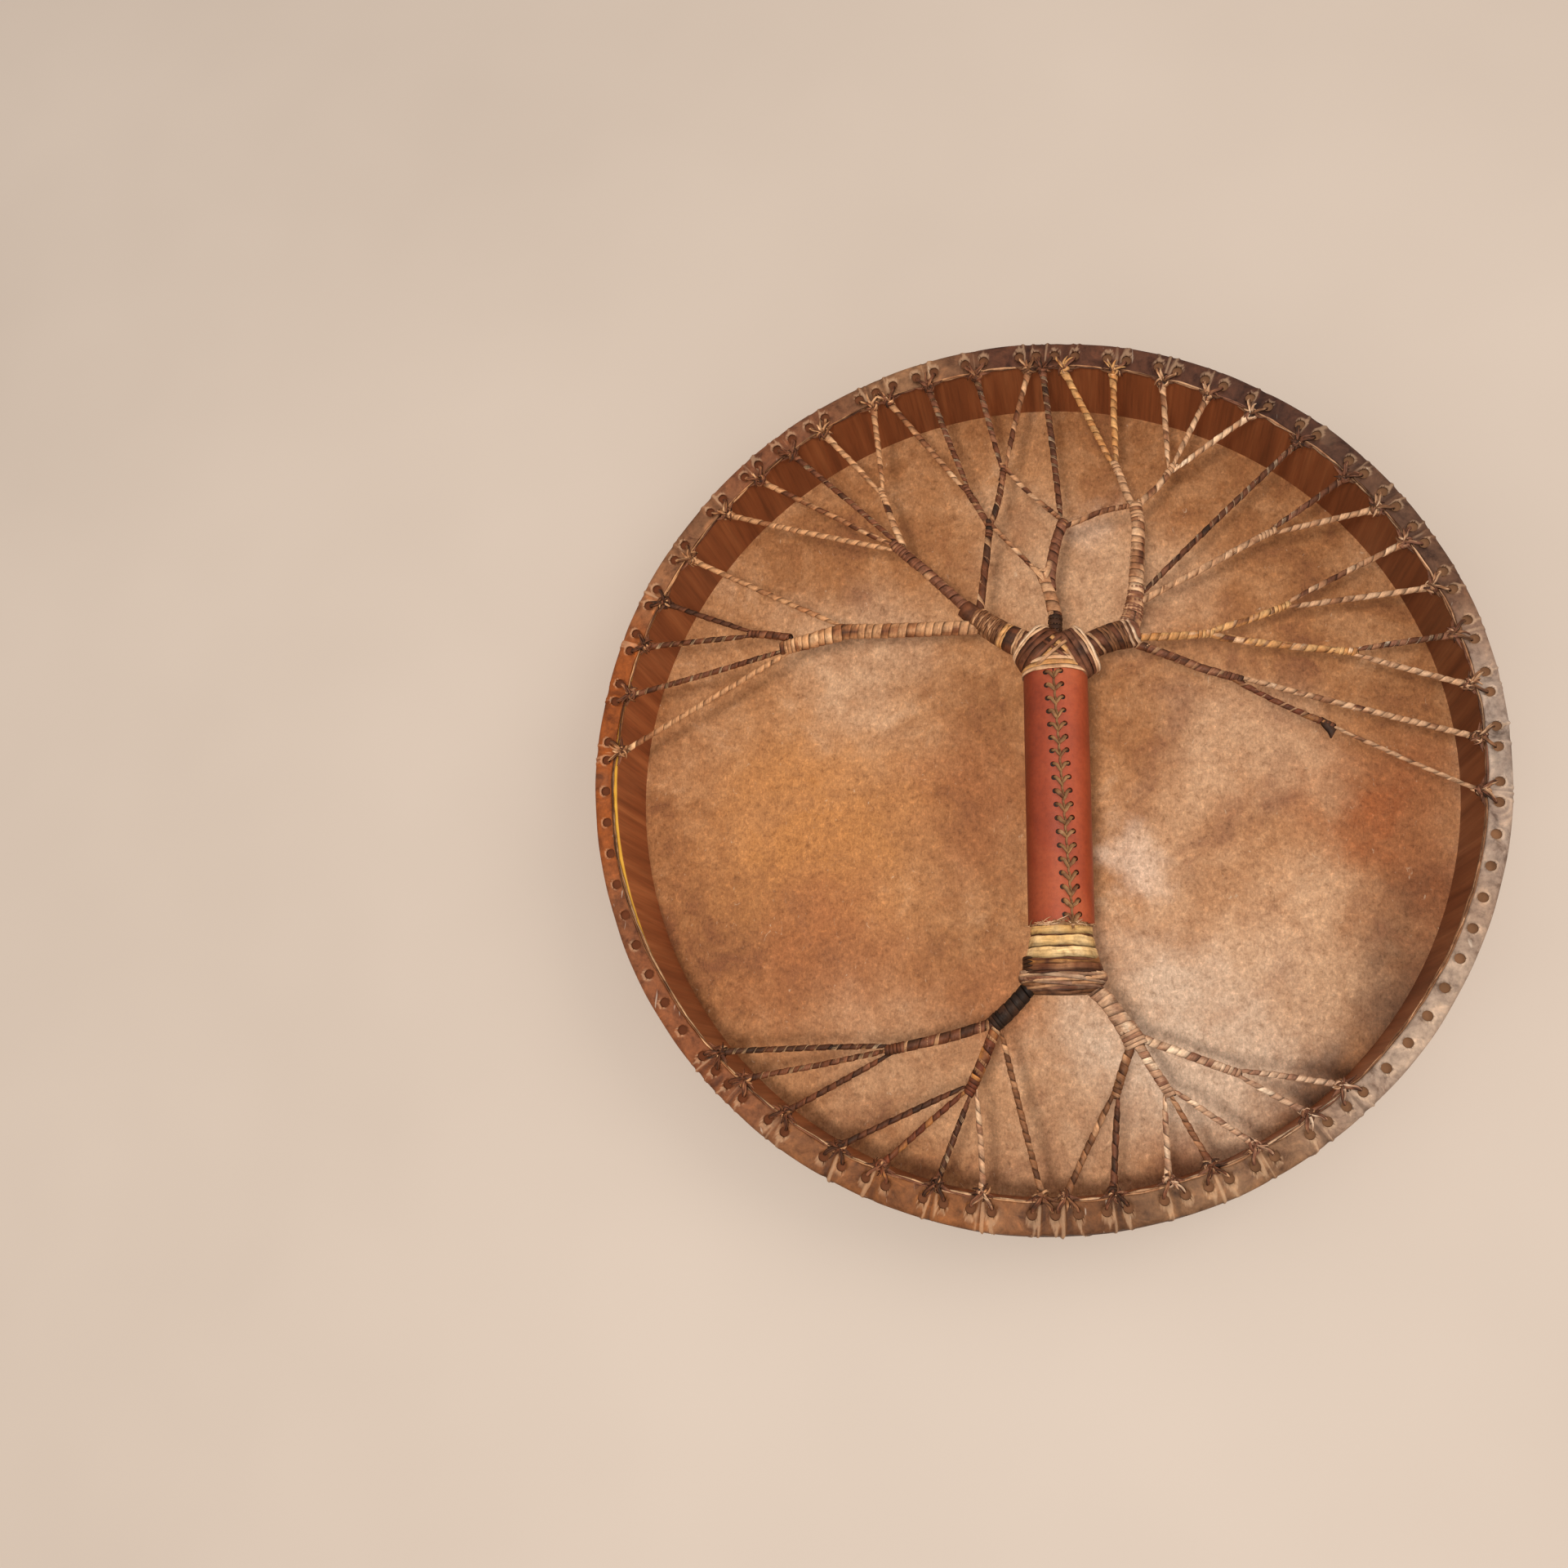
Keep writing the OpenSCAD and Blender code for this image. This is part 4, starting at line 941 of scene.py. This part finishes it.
def edge_shift(theta):
    """How far the flap's edge lies outside its usual radius: in at knots, out where no lace pulls."""
    theta = np.asarray(theta, float)
    pull = sum(np.exp(-(turned_by(theta, a) / 1.25) ** 2) for a in ANGLES)
    bare = np.clip(1 - np.abs(turned_by(theta, 192)) / 17, 0, 1) ** 0.5
    deep = np.exp(-(turned_by(theta, 85) / 42) ** 2) + 1.1 * np.exp(-(turned_by(theta, -92) / 36) ** 2)
    return 0.2 - 1.2 * np.clip(pull, 0, 1) + 2.1 * bare - 1.7 * deep + 0.3 * wave(theta, "edge", 11)


def bulge(theta, z):
    """How far the wall stands out from its round, most at the drum's foot and head."""
    head = 1.7 * np.exp(-(turned_by(theta, 88) / 48) ** 2)
    foot = 3.4 * np.exp(-(turned_by(theta, -92) / 46) ** 2)
    return (head + foot * np.clip((96 - z) / 34, 1, 1.6)) * np.clip(z / 7, 0, 1) ** 0.5


def relief(theta, q):
    """Height of the hide above its plain shape: thin pleats fanned out from each knot, rims round the holes.
    q is the way along the skin from the flap's inner edge."""
    mm = 4.3                                      # of rim to a degree
    height = np.zeros_like(theta + q)
    foot = np.exp(-(turned_by(theta, -88) / 60) ** 2)
    fade = np.clip((q - 0.5) / 3, 0, 1) * np.clip((26 + 8 * foot - q) / 15, 0, 1) ** 1.2
    for i, a in enumerate(ANGLES):
        rng = random.Random(f"pleat {i}")
        d = turned_by(theta, a)
        near = np.abs(d) < 4
        strong = 0.65 + 0.35 * math.exp(-(float(turned_by(a, -88)) / 60) ** 2)
        for _ in range(rng.choice((3, 4, 4, 5))):
            tall, lean, end = strong * rng.uniform(0.5, 1.15), rng.uniform(-2.8, 2.8), rng.uniform(9, 30)
            x = (d - lean * (0.3 + 0.028 * q)) * mm
            pleat = np.where(near, tall * np.exp(-(x / 0.72) ** 2), 0)
            height = height + pleat * fade * np.clip((end - q) / 5, 0, 1)
        height = height - np.where(near, 0.42 * strong * np.exp(-(d * mm / 2.4) ** 2), 0) * fade
    for h in HOLES:
        x, y = along_rim(theta, h), q - (HOLE_R - FLAP_R)
        lip = 0.9 * np.exp(-((np.hypot(x, y) - HOLE_RADIUS - 0.45) / 0.5) ** 2)
        height = height + lip * (0.3 + 0.7 * np.clip(y / 2.2, -1, 1))
    return height + 0.3 * wave(theta, "lump", 13) * np.clip(q / 4, 0, 1)


FINE = 1800                                       # places round the rim in the flap and the upper wall
COARSE_STEP = 5                                   # of those to one place elsewhere
THETA = np.arange(FINE) / FINE * 360


def arc(r, z, radius, angles):
    """Points [r, z] round a corner, at angles in degrees."""
    return [(r + radius * math.cos(math.radians(a)), z + radius * math.sin(math.radians(a))) for a in angles]


def hide_section():
    """The skin's section as [radius, z] from the middle of its face out, over and back inside, with the rows
    where the fine part starts, the flap starts, the inside starts and the fine part ends."""
    flap_rows = [FLAP_R + k for k in range(10)]
    face = [0.0] + [10.0 * k for k in range(1, 24)] + [236.0, 241.0, 245.0, EDGE_R]
    rows = [(r, 0.0) for r in face] + arc(EDGE_R, 4, 4, (-67.5, -45, -22.5, 0))
    rows += [(R_OUT, z) for z in range(7, 30, 4)]
    first_fine = len(rows)
    rows += [(R_OUT, z) for z in range(31, int(DEPTH) - 2, 2)]
    rows += arc(R_OUT - 3, DEPTH - 3, 3, (22.5, 45, 67.5, 90))
    flap = len(rows) - 1
    rows += [(r, DEPTH) for r in reversed(flap_rows[:-1])]
    inside = len(rows)
    rows += [(r, DEPTH - HIDE_T) for r in flap_rows] + arc(R_OUT - 3, DEPTH - 3, 1.5, (45, 0))
    end_fine = len(rows)
    rows += [(R_OUT - HIDE_T, z) for z in (54, 40, 20, 8, 4)] + arc(EDGE_R, 4, 2.5, (-45, -90))
    rows += [(r, HIDE_T) for r in reversed(face[:-1])]
    return rows, first_fine, flap, inside, end_fine


def lift_way(r, z, is_inside):
    """Which way, in radius and height, the relief lifts the skin at a row."""
    if is_inside:
        n = np.array([0.0, 1.0 if z > DEPTH - 2 else 0.0])
    elif z > DEPTH - 3 and r > R_OUT - 3:
        n = np.array([r - (R_OUT - 3), z - (DEPTH - 3)])
    else:
        n = np.array([0.0, 1.0] if z >= DEPTH - 3 and r <= R_OUT - 3 else [1.0, 0.0])
    return n / max(np.linalg.norm(n), 1e-9)


def hide_piece():
    """The whole hide, one closed skin: face, wall and the flap with its pleats and holes."""
    section, first_fine, flap, inside, end_fine = hide_section()

    def under(k):
        """The inside row below an outside row of the flap, or the other way round."""
        return 2 * inside - 1 - k

    way, q = {}, 0.0                              # how far along the skin a row lies from the flap's edge
    for k in range(inside - 1, first_fine - 1, -1):
        way[k] = q
        q += math.dist(section[k], section[k - 1])
    verts, crest, start, width = [], [], [], []
    for k, (r, z) in enumerate(section):
        is_fine, is_inside = first_fine <= k < end_fine, k >= inside
        th = THETA if is_fine else THETA[::COARSE_STEP]
        if r == 0:
            th = th[:1]
        height, shift = np.zeros_like(th), np.zeros_like(th)
        if is_fine:
            q = way.get(under(k) if is_inside else k, 20.0)
            height = relief(th, np.full_like(th, q))
            shift = edge_shift(th) * max(0.0, 1 - q / 5.0)
            if is_inside:
                height = np.clip(height, 0, None) * 0.9
        elif k < first_fine and z > 4:
            height = 0.12 * wave(th, "wall", 5)
        if not is_inside and r > R_OUT - 8:
            shift = shift + bulge(th, z) * min(1.0, (r - R_OUT + 8) / 5)
        n = lift_way(r, z, is_inside)
        rr, zz = r + shift + height * n[0], z + height * n[1] + 0 * th
        a = np.radians(th)
        start.append(sum(width))
        width.append(len(th))
        verts.append(np.stack([rr * np.cos(a), rr * np.sin(a), zz], -1))
        crest.append(height)
    verts, crest = np.concatenate(verts), np.concatenate(crest)
    # Cells of the flap whose middle is in a hole are left out, and the hole's rim drawn to its circle
    flap_cells = range(flap, inside - 1)
    gone, rim = {}, {}
    for k in flap_cells:
        middle = (section[k][0] + section[k + 1][0]) / 2
        for h in HOLES:
            first = int((h - 1.2) % 360 / 360 * FINE)
            for j in range(first, first + 14):
                if math.hypot(float(along_rim((j + 0.5) / FINE * 360, h)), middle - HOLE_R) < HOLE_RADIUS:
                    gone[(k, j % FINE)] = h
    for (k, j), h in gone.items():
        for kk, jj in ((k, j), (k + 1, j), (k, (j + 1) % FINE), (k + 1, (j + 1) % FINE)):
            before = (jj - 1) % FINE
            if not all(c in gone for c in ((kk - 1, before), (kk - 1, jj), (kk, before), (kk, jj))):
                rim[(kk, jj)] = h
    for (k, j), h in rim.items():
        x, y = float(along_rim(THETA[j], h)), section[k][0] - HOLE_R
        scale = HOLE_RADIUS / max(math.hypot(x, y), 1e-6)
        a, r = math.radians(h + x * scale / HOLE_R * 180 / math.pi), HOLE_R + y * scale
        for row in (k, under(k)):
            verts[start[row] + j] = (r * math.cos(a), r * math.sin(a), verts[start[row] + j][2])
    faces, inner = [], []                         # inner: 1 where the face shows the hide's inside

    def face(corners, is_inner):
        faces.append(tuple(corners))
        inner.append(is_inner)

    for k in range(len(section) - 1):
        a, b, na, nb = start[k], start[k + 1], width[k], width[k + 1]
        is_inner = int(k >= inside)
        if na == nb:
            cell_row = k if k in flap_cells else under(k + 1)
            for j in range(na):
                n = (j + 1) % na
                if (cell_row, j) not in gone:
                    face((a + j, a + n, b + n, b + j), is_inner)
        elif na == 1 or nb == 1:
            m = max(na, nb)
            for j in range(m):
                n = (j + 1) % m
                face((a, b + n, b + j) if na == 1 else (a + j, a + n, b), is_inner)
        else:
            few, many = (a, b) if na < nb else (b, a)
            m, f = min(na, nb), max(na, nb)
            for j in range(m):
                long = [many + (j * COARSE_STEP + i) % f for i in range(COARSE_STEP + 1)]
                face([few + j] + long + [few + (j + 1) % m], is_inner)
    for k, j in gone:                             # the walls of the holes
        n = (j + 1) % FINE
        for cell, p, q in (((k - 1, j), (k, j), (k, n)), ((k + 1, j), (k + 1, j), (k + 1, n)),
                           ((k, (j - 1) % FINE), (k, j), (k + 1, j)), ((k, n), (k, n), (k + 1, n))):
            if cell not in gone:
                face((start[p[0]] + p[1], start[q[0]] + q[1],
                      start[under(q[0])] + q[1], start[under(p[0])] + p[1]), 0)
    used = np.unique(np.concatenate([np.array(f) for f in faces]))
    new = np.full(len(verts), -1)
    new[used] = np.arange(len(used))
    mesh = bpy.data.meshes.new("hide")
    mesh.from_pydata((verts[used] * MM).tolist(), [], [tuple(int(new[i]) for i in f) for f in faces])
    # crest: the relief's height; the outside material paints a highlight on its ridges and darkens its dips
    mark = mesh.attributes.new("crest", "FLOAT", "POINT")
    mark.data.foreach_set("value", crest[used].astype(np.float32))
    mesh.materials.append(HIDE_OUT)
    outward(mesh)
    piece = placed("hide", mesh, HIDE_IN, "drumhead")
    mesh.polygons.foreach_set("material_index", inner)
    return piece


hide = hide_piece()


def local(angle, out, side, z):
    """A point near the rim at an angle: out from the knot circle, side anticlockwise, height z."""
    a = math.radians(angle)
    r = KNOT_R + out
    return (r * math.cos(a) - side * math.sin(a), r * math.sin(a) + side * math.cos(a), z)


def ball(build, centre, radii, palette, seed):
    """A lumpy ball of wound strip."""
    rows, sides = 7, 12
    lat = np.linspace(-1.35, 1.35, rows)
    phi = np.arange(sides) / sides * TAU
    lump = 1 + 0.13 * ripple(np.add.outer(lat * 9, phi * 7), seed, 17)
    round_ = np.cos(lat)[:, None]
    ring = np.stack([round_ * np.cos(phi) * lump, round_ * np.sin(phi) * lump,
                     np.sin(lat)[:, None] + 0 * phi], -1)
    value = 0.35 + 0.35 * ripple(lat * 8, (seed, "t"), 19)
    build.loft(np.array(centre) + ring * np.array(radii), lat * 5, phi / TAU,
               shade(palette, np.clip(value, 0, 1)),
               seed=hash_of(seed))


def knot(build, i):
    angle, palette = LACES[i]
    rng = random.Random(f"knot {i}")
    dim = "dark" if palette in ("dark", "black") else rng.choice(("brown", "umber", "mauve"))
    middle = local(angle, 0.4, 0, KNOT_Z)
    ball(build, middle, (3.0, 3.2, 2.5), dim, f"ball {i}")
    for k in range(5):                            # loops of the knot
        tilt, lean, r = rng.uniform(0, math.pi), rng.uniform(-0.9, 0.9), rng.uniform(2.4, 3.6)
        pts = []
        for t in np.linspace(0, TAU * rng.uniform(0.45, 0.85), 14):
            x, y = r * math.cos(t), r * math.sin(t) * math.cos(lean)
            z = r * 0.85 * math.sin(t) * math.sin(lean) + 0.9 * math.cos(2 * t + tilt)
            x, y = x * math.cos(tilt) - y * math.sin(tilt), x * math.sin(tilt) + y * math.cos(tilt)
            pts.append(local(angle, 0.6 + x, y, KNOT_Z + 0.9 + z))
        normals = [np.array(p) - np.array(middle) for p in pts]
        strip(build, pts, [1.0] + [rng.uniform(1.3, 2.1)] * 12 + [0.8], 0.7, (palette, dim)[k % 2],
              f"loop {i} {k}", normals)
    for side, gap in ((1, gap_after(i - 1)), (-1, gap_after(i))):      # strands down to the hole on each side
        step = gap / 2 - 0.34 if gap < SHARED_GAP else HOLE_STEP
        reach = side * math.radians(step) * HOLE_R
        out, z0 = HOLE_R - KNOT_R, DEPTH + 1.0
        for k, wide in enumerate((1.9, 1.2)):
            bend = rng.uniform(-0.5, 0.5) + (0.7 if k else 0) * side
            smooth = Path([local(angle, *p) + (1.0,) for p in (
                (0.5, 0.6 * side, z0 + 0.8), (0.3 * out, 0.35 * reach + bend, z0 + 1.7 + 0.5 * k),
                (0.55 * out, 0.72 * reach + bend, z0 + 1.2 + 0.4 * k),
                (0.74 * out, 0.92 * reach + 0.4 * bend, z0 + 0.7),
                (0.86 * out, reach, z0 - 0.5), (0.87 * out, reach, DEPTH - 1.4))])
            s = np.linspace(0, smooth.length, 14)
            widths = wide * np.interp(s / smooth.length, [0, 0.2, 0.8, 1], [0.7, 1, 1, 0.7])
            strip(build, smooth.at(s)[0], widths, 0.8, palette if k == i % 2 and side > 0 else dim,
                  f"strand {i} {side} {k}", twist=rng.uniform(-0.7, 0.7))
    for k in range(rng.choice((1, 2, 2, 3))):     # loose ends
        a, reach = rng.uniform(-1.3, 1.3), rng.uniform(4, 8.5)
        pts = [local(angle, 1.5 + reach * t * math.cos(a),
                     reach * t * math.sin(a) + 0.8 * math.sin(3 * t + k),
                     DEPTH + 1.6 + 2.2 * math.sin(t * 2.4)) for t in np.linspace(0, 1, 7)]
        strip(build, pts, [1.5, 1.7, 1.6, 1.4, 1.1, 0.8, 0.25], 0.6, palette, f"end {i} {k}",
              twist=rng.uniform(-1.5, 1.5))
    for k in range(9):                            # short ends of other strips caught in the knot
        a, turn, r = rng.uniform(0, TAU), rng.uniform(-1.4, 1.4), rng.uniform(2.4, 4.2)
        pts = [local(angle, 0.8 + r * math.cos(a + turn * t) * (0.4 + t),
                     r * math.sin(a + turn * t) * (0.4 + t),
                     DEPTH + 2.6 - 2.6 * t * t) for t in (0.0, 0.25, 0.5, 0.75, 1.0)]
        strip(build, pts, [0.6, 1.3, 1.4, 1.0, 0.3], 0.55,
              rng.choice(("black", "brown", "dark", "umber", "mauve", "cream")), f"bit {i} {k}",
              twist=rng.uniform(-1, 1))
    for side in (-1, 1):                          # webs of dark strip from the knot along the flap's edge: painted shade of the hide's fold there
        for k in range(2):
            far = rng.uniform(4.5, 8.5)
            pts = [local(angle, 0.3 + (1.2 + 1.1 * k) * t ** 0.7, side * (1.0 + far * t),
                         DEPTH + 0.9 - 0.5 * t + 0.25 * math.sin(7 * t + k)) for t in np.linspace(0, 1, 7)]
            strip(build, pts, [2.6, 2.4, 2.0, 1.6, 1.1, 0.7, 0.2], 0.5,
                  rng.choice(("brown", "umber", "mauve")),
                  f"web {i} {side} {k}", value=0.35, twist=rng.uniform(-0.5, 0.5))


crown = sum(1 for a in ANGLES if a > -30)
for name, node, span in (("crown_knot_ties", "crown_knots", range(crown)),
                         ("root_knot_ties", "root_knots", range(crown, len(ANGLES)))):
    build = Build()
    for i in span:
        knot(build, i)
    build.piece(name, node, RAWHIDE)

# The cord that runs from knot to knot along the flap's edge
build = Build()
for i, angle in enumerate(ANGLES):
    gap = gap_after(i)
    if gap < SHARED_GAP:
        continue
    rng = random.Random(f"cord {i}")
    is_wide, is_low = gap > WIDE_GAP, angle < -40
    for k in range(2 if gap < WIDE_GAP else 3):
        th = np.linspace(angle - 0.7, angle - gap + 0.7, max(8, int(gap * 1.6)))
        t = np.linspace(0, 1, len(th))
        r = (FLAP_R + edge_shift(th) * (1.0 if is_wide else 0.4) - 0.9 - (0.6 - 0.5 * k) * np.sin(t * math.pi)
             + 0.35 * ripple(th, f"cord {i} {k}", 9))
        z = DEPTH - 0.2 + 0.5 * k + 0.4 * ripple(th, f"lift {i} {k}", 7)
        a = np.radians(th)
        pale = k == 0 and is_low
        palette = rng.choice(("pale", "cream")) if pale else rng.choice(("cream", "tan", "umber", "mauve"))
        width = (1.9 if pale else 1.2) * (0.6 + 0.4 * np.sin(t * math.pi)) * rng.uniform(0.8, 1.15)
        strip(build, np.stack([r * np.cos(a), r * np.sin(a), z], -1), width, 0.7, palette, f"cord {i} {k}",
              twist=rng.uniform(-2.5, 2.5), value=0.6)
build.piece("edge_cord", "rim_cord", RAWHIDE)

# ---------------------------------------------------------------- the grip's seam
build = Build()
ROWS = 19
PITCH = (GRIP_TOP - GRIP_BOTTOM) / ROWS
MIDDLE = (GRIP_TOP + GRIP_BOTTOM) / 2
DRIFT = math.radians(3)
TURN = math.radians(9.3)
HOLE_X = 4.0


def on_sleeve(x, y, lift):
    """A point over the sleeve, x to the side of its slanting seam."""
    gx = x - math.tan(DRIFT) * y
    z = lift + math.sqrt(max(GRIP_RADIUS ** 2 - gx ** 2, 1))
    return (GRIP_X + gx * math.cos(TURN) + z * math.sin(TURN), MIDDLE + y + x * math.sin(DRIFT),
            LACE_Z + z * math.cos(TURN) - gx * math.sin(TURN))


for row in range(ROWS):
    y = (row - (ROWS - 1) / 2) * PITCH
    rng = random.Random(f"stitch {row}")
    for side in (-1, 1):
        drop, wide, skew = PITCH * rng.uniform(0.35, 0.6), rng.uniform(1.8, 2.8), rng.uniform(-1.0, 1.0)
        smooth = Path([on_sleeve(*p) + (1.0,) for p in (
            (side * HOLE_X, y + 0.3, -2.2), (side * (HOLE_X - 0.2), y + 0.2, 0.2),
            (side * (HOLE_X - 0.8), y - 0.2, 1.05), (side * 2.2, y - drop * 0.35 + skew, 1.25),
            (side * 1.0, y - drop * 0.8, 1.0), (side * 0.1, y - drop * 1.15, 0.3),
            (0, y - drop * 1.3, -1.2))])
        s = np.linspace(0, smooth.length, 15)
        widths = wide * np.interp(s / smooth.length, [0, 0.25, 0.5, 0.85, 1], [0.6, 0.9, 1, 0.7, 0.35])
        strip(build, smooth.at(s)[0], widths, 0.75, "olive", f"thong {row} {side}",
              twist=side * rng.uniform(-0.3, 1.0), value=rng.uniform(0.12, 0.8), patch=7)
    pts = [on_sleeve(0.3 * math.sin(k), y - PITCH * t, 0.25 - 0.5 * abs(t - 0.5))
           for k, t in enumerate(np.linspace(0, 1, 7))]
    strip(build, pts, 1.3, 0.7, "olive", f"line {row}", value=0.3)
build.piece("seam_lacing", "grip_lacing", THONG)

for node, material in (("hoop", WOOD), ("grip_sleeve", LEATHER), ("handle_core", CORE)):
    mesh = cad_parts[node].data
    mesh.materials.clear()
    mesh.materials.append(material)

# ---------------------------------------------------------------- floor, light and camera
mesh = bpy.data.meshes.new("floor")
half = 6.0
corners = ((-1, -1), (1, -1), (1, 1), (-1, 1))
mesh.from_pydata([(half * x, half * y, -0.0006) for x, y in corners], [], [(0, 1, 2, 3)])
mesh.materials.append(floor_material())
floor = bpy.data.objects.new("floor", mesh)
bpy.context.scene.collection.objects.link(floor)


def area_light(name, place, size, power, colour, aim=(0.0, 0.0, 0.0)):
    data = bpy.data.lights.new(name, "AREA")
    data.shape, data.size, data.energy, data.color = "DISK", size, power, colour
    light = bpy.data.objects.new(name, data)
    light.location = place
    direction = light.location - type(light.location)(aim)
    light.rotation_euler = direction.to_track_quat("Z", "Y").to_euler()
    bpy.context.scene.collection.objects.link(light)


area_light("key", (-0.12, -0.45, 2.1), 0.26, 25.0, (1.0, 0.97, 0.92))
area_light("fill", (1.6, 0.6, 1.7), 1.4, 10.0, (1.0, 0.97, 0.93))
world = bpy.data.worlds.new("studio")
world.use_nodes = True
background = world.node_tree.nodes["Background"]
background.inputs["Color"].default_value = (0.93, 0.9, 0.87, 1.0)
background.inputs["Strength"].default_value = 0.66
bpy.context.scene.world = world
bpy.context.scene.view_settings.view_transform = "Standard"

data = bpy.data.cameras.new("camera")
data.lens, data.sensor_width, data.clip_start = 34.19, 36.0, 0.02
camera = bpy.data.objects.new("camera", data)
camera.location = (0.036041, -0.193282, 0.876724)
camera.rotation_euler = [math.radians(a) for a in (12.588, 11.786, 0.9197)]
bpy.context.scene.collection.objects.link(camera)
bpy.context.scene.camera = camera

bpy.context.view_layer.update()
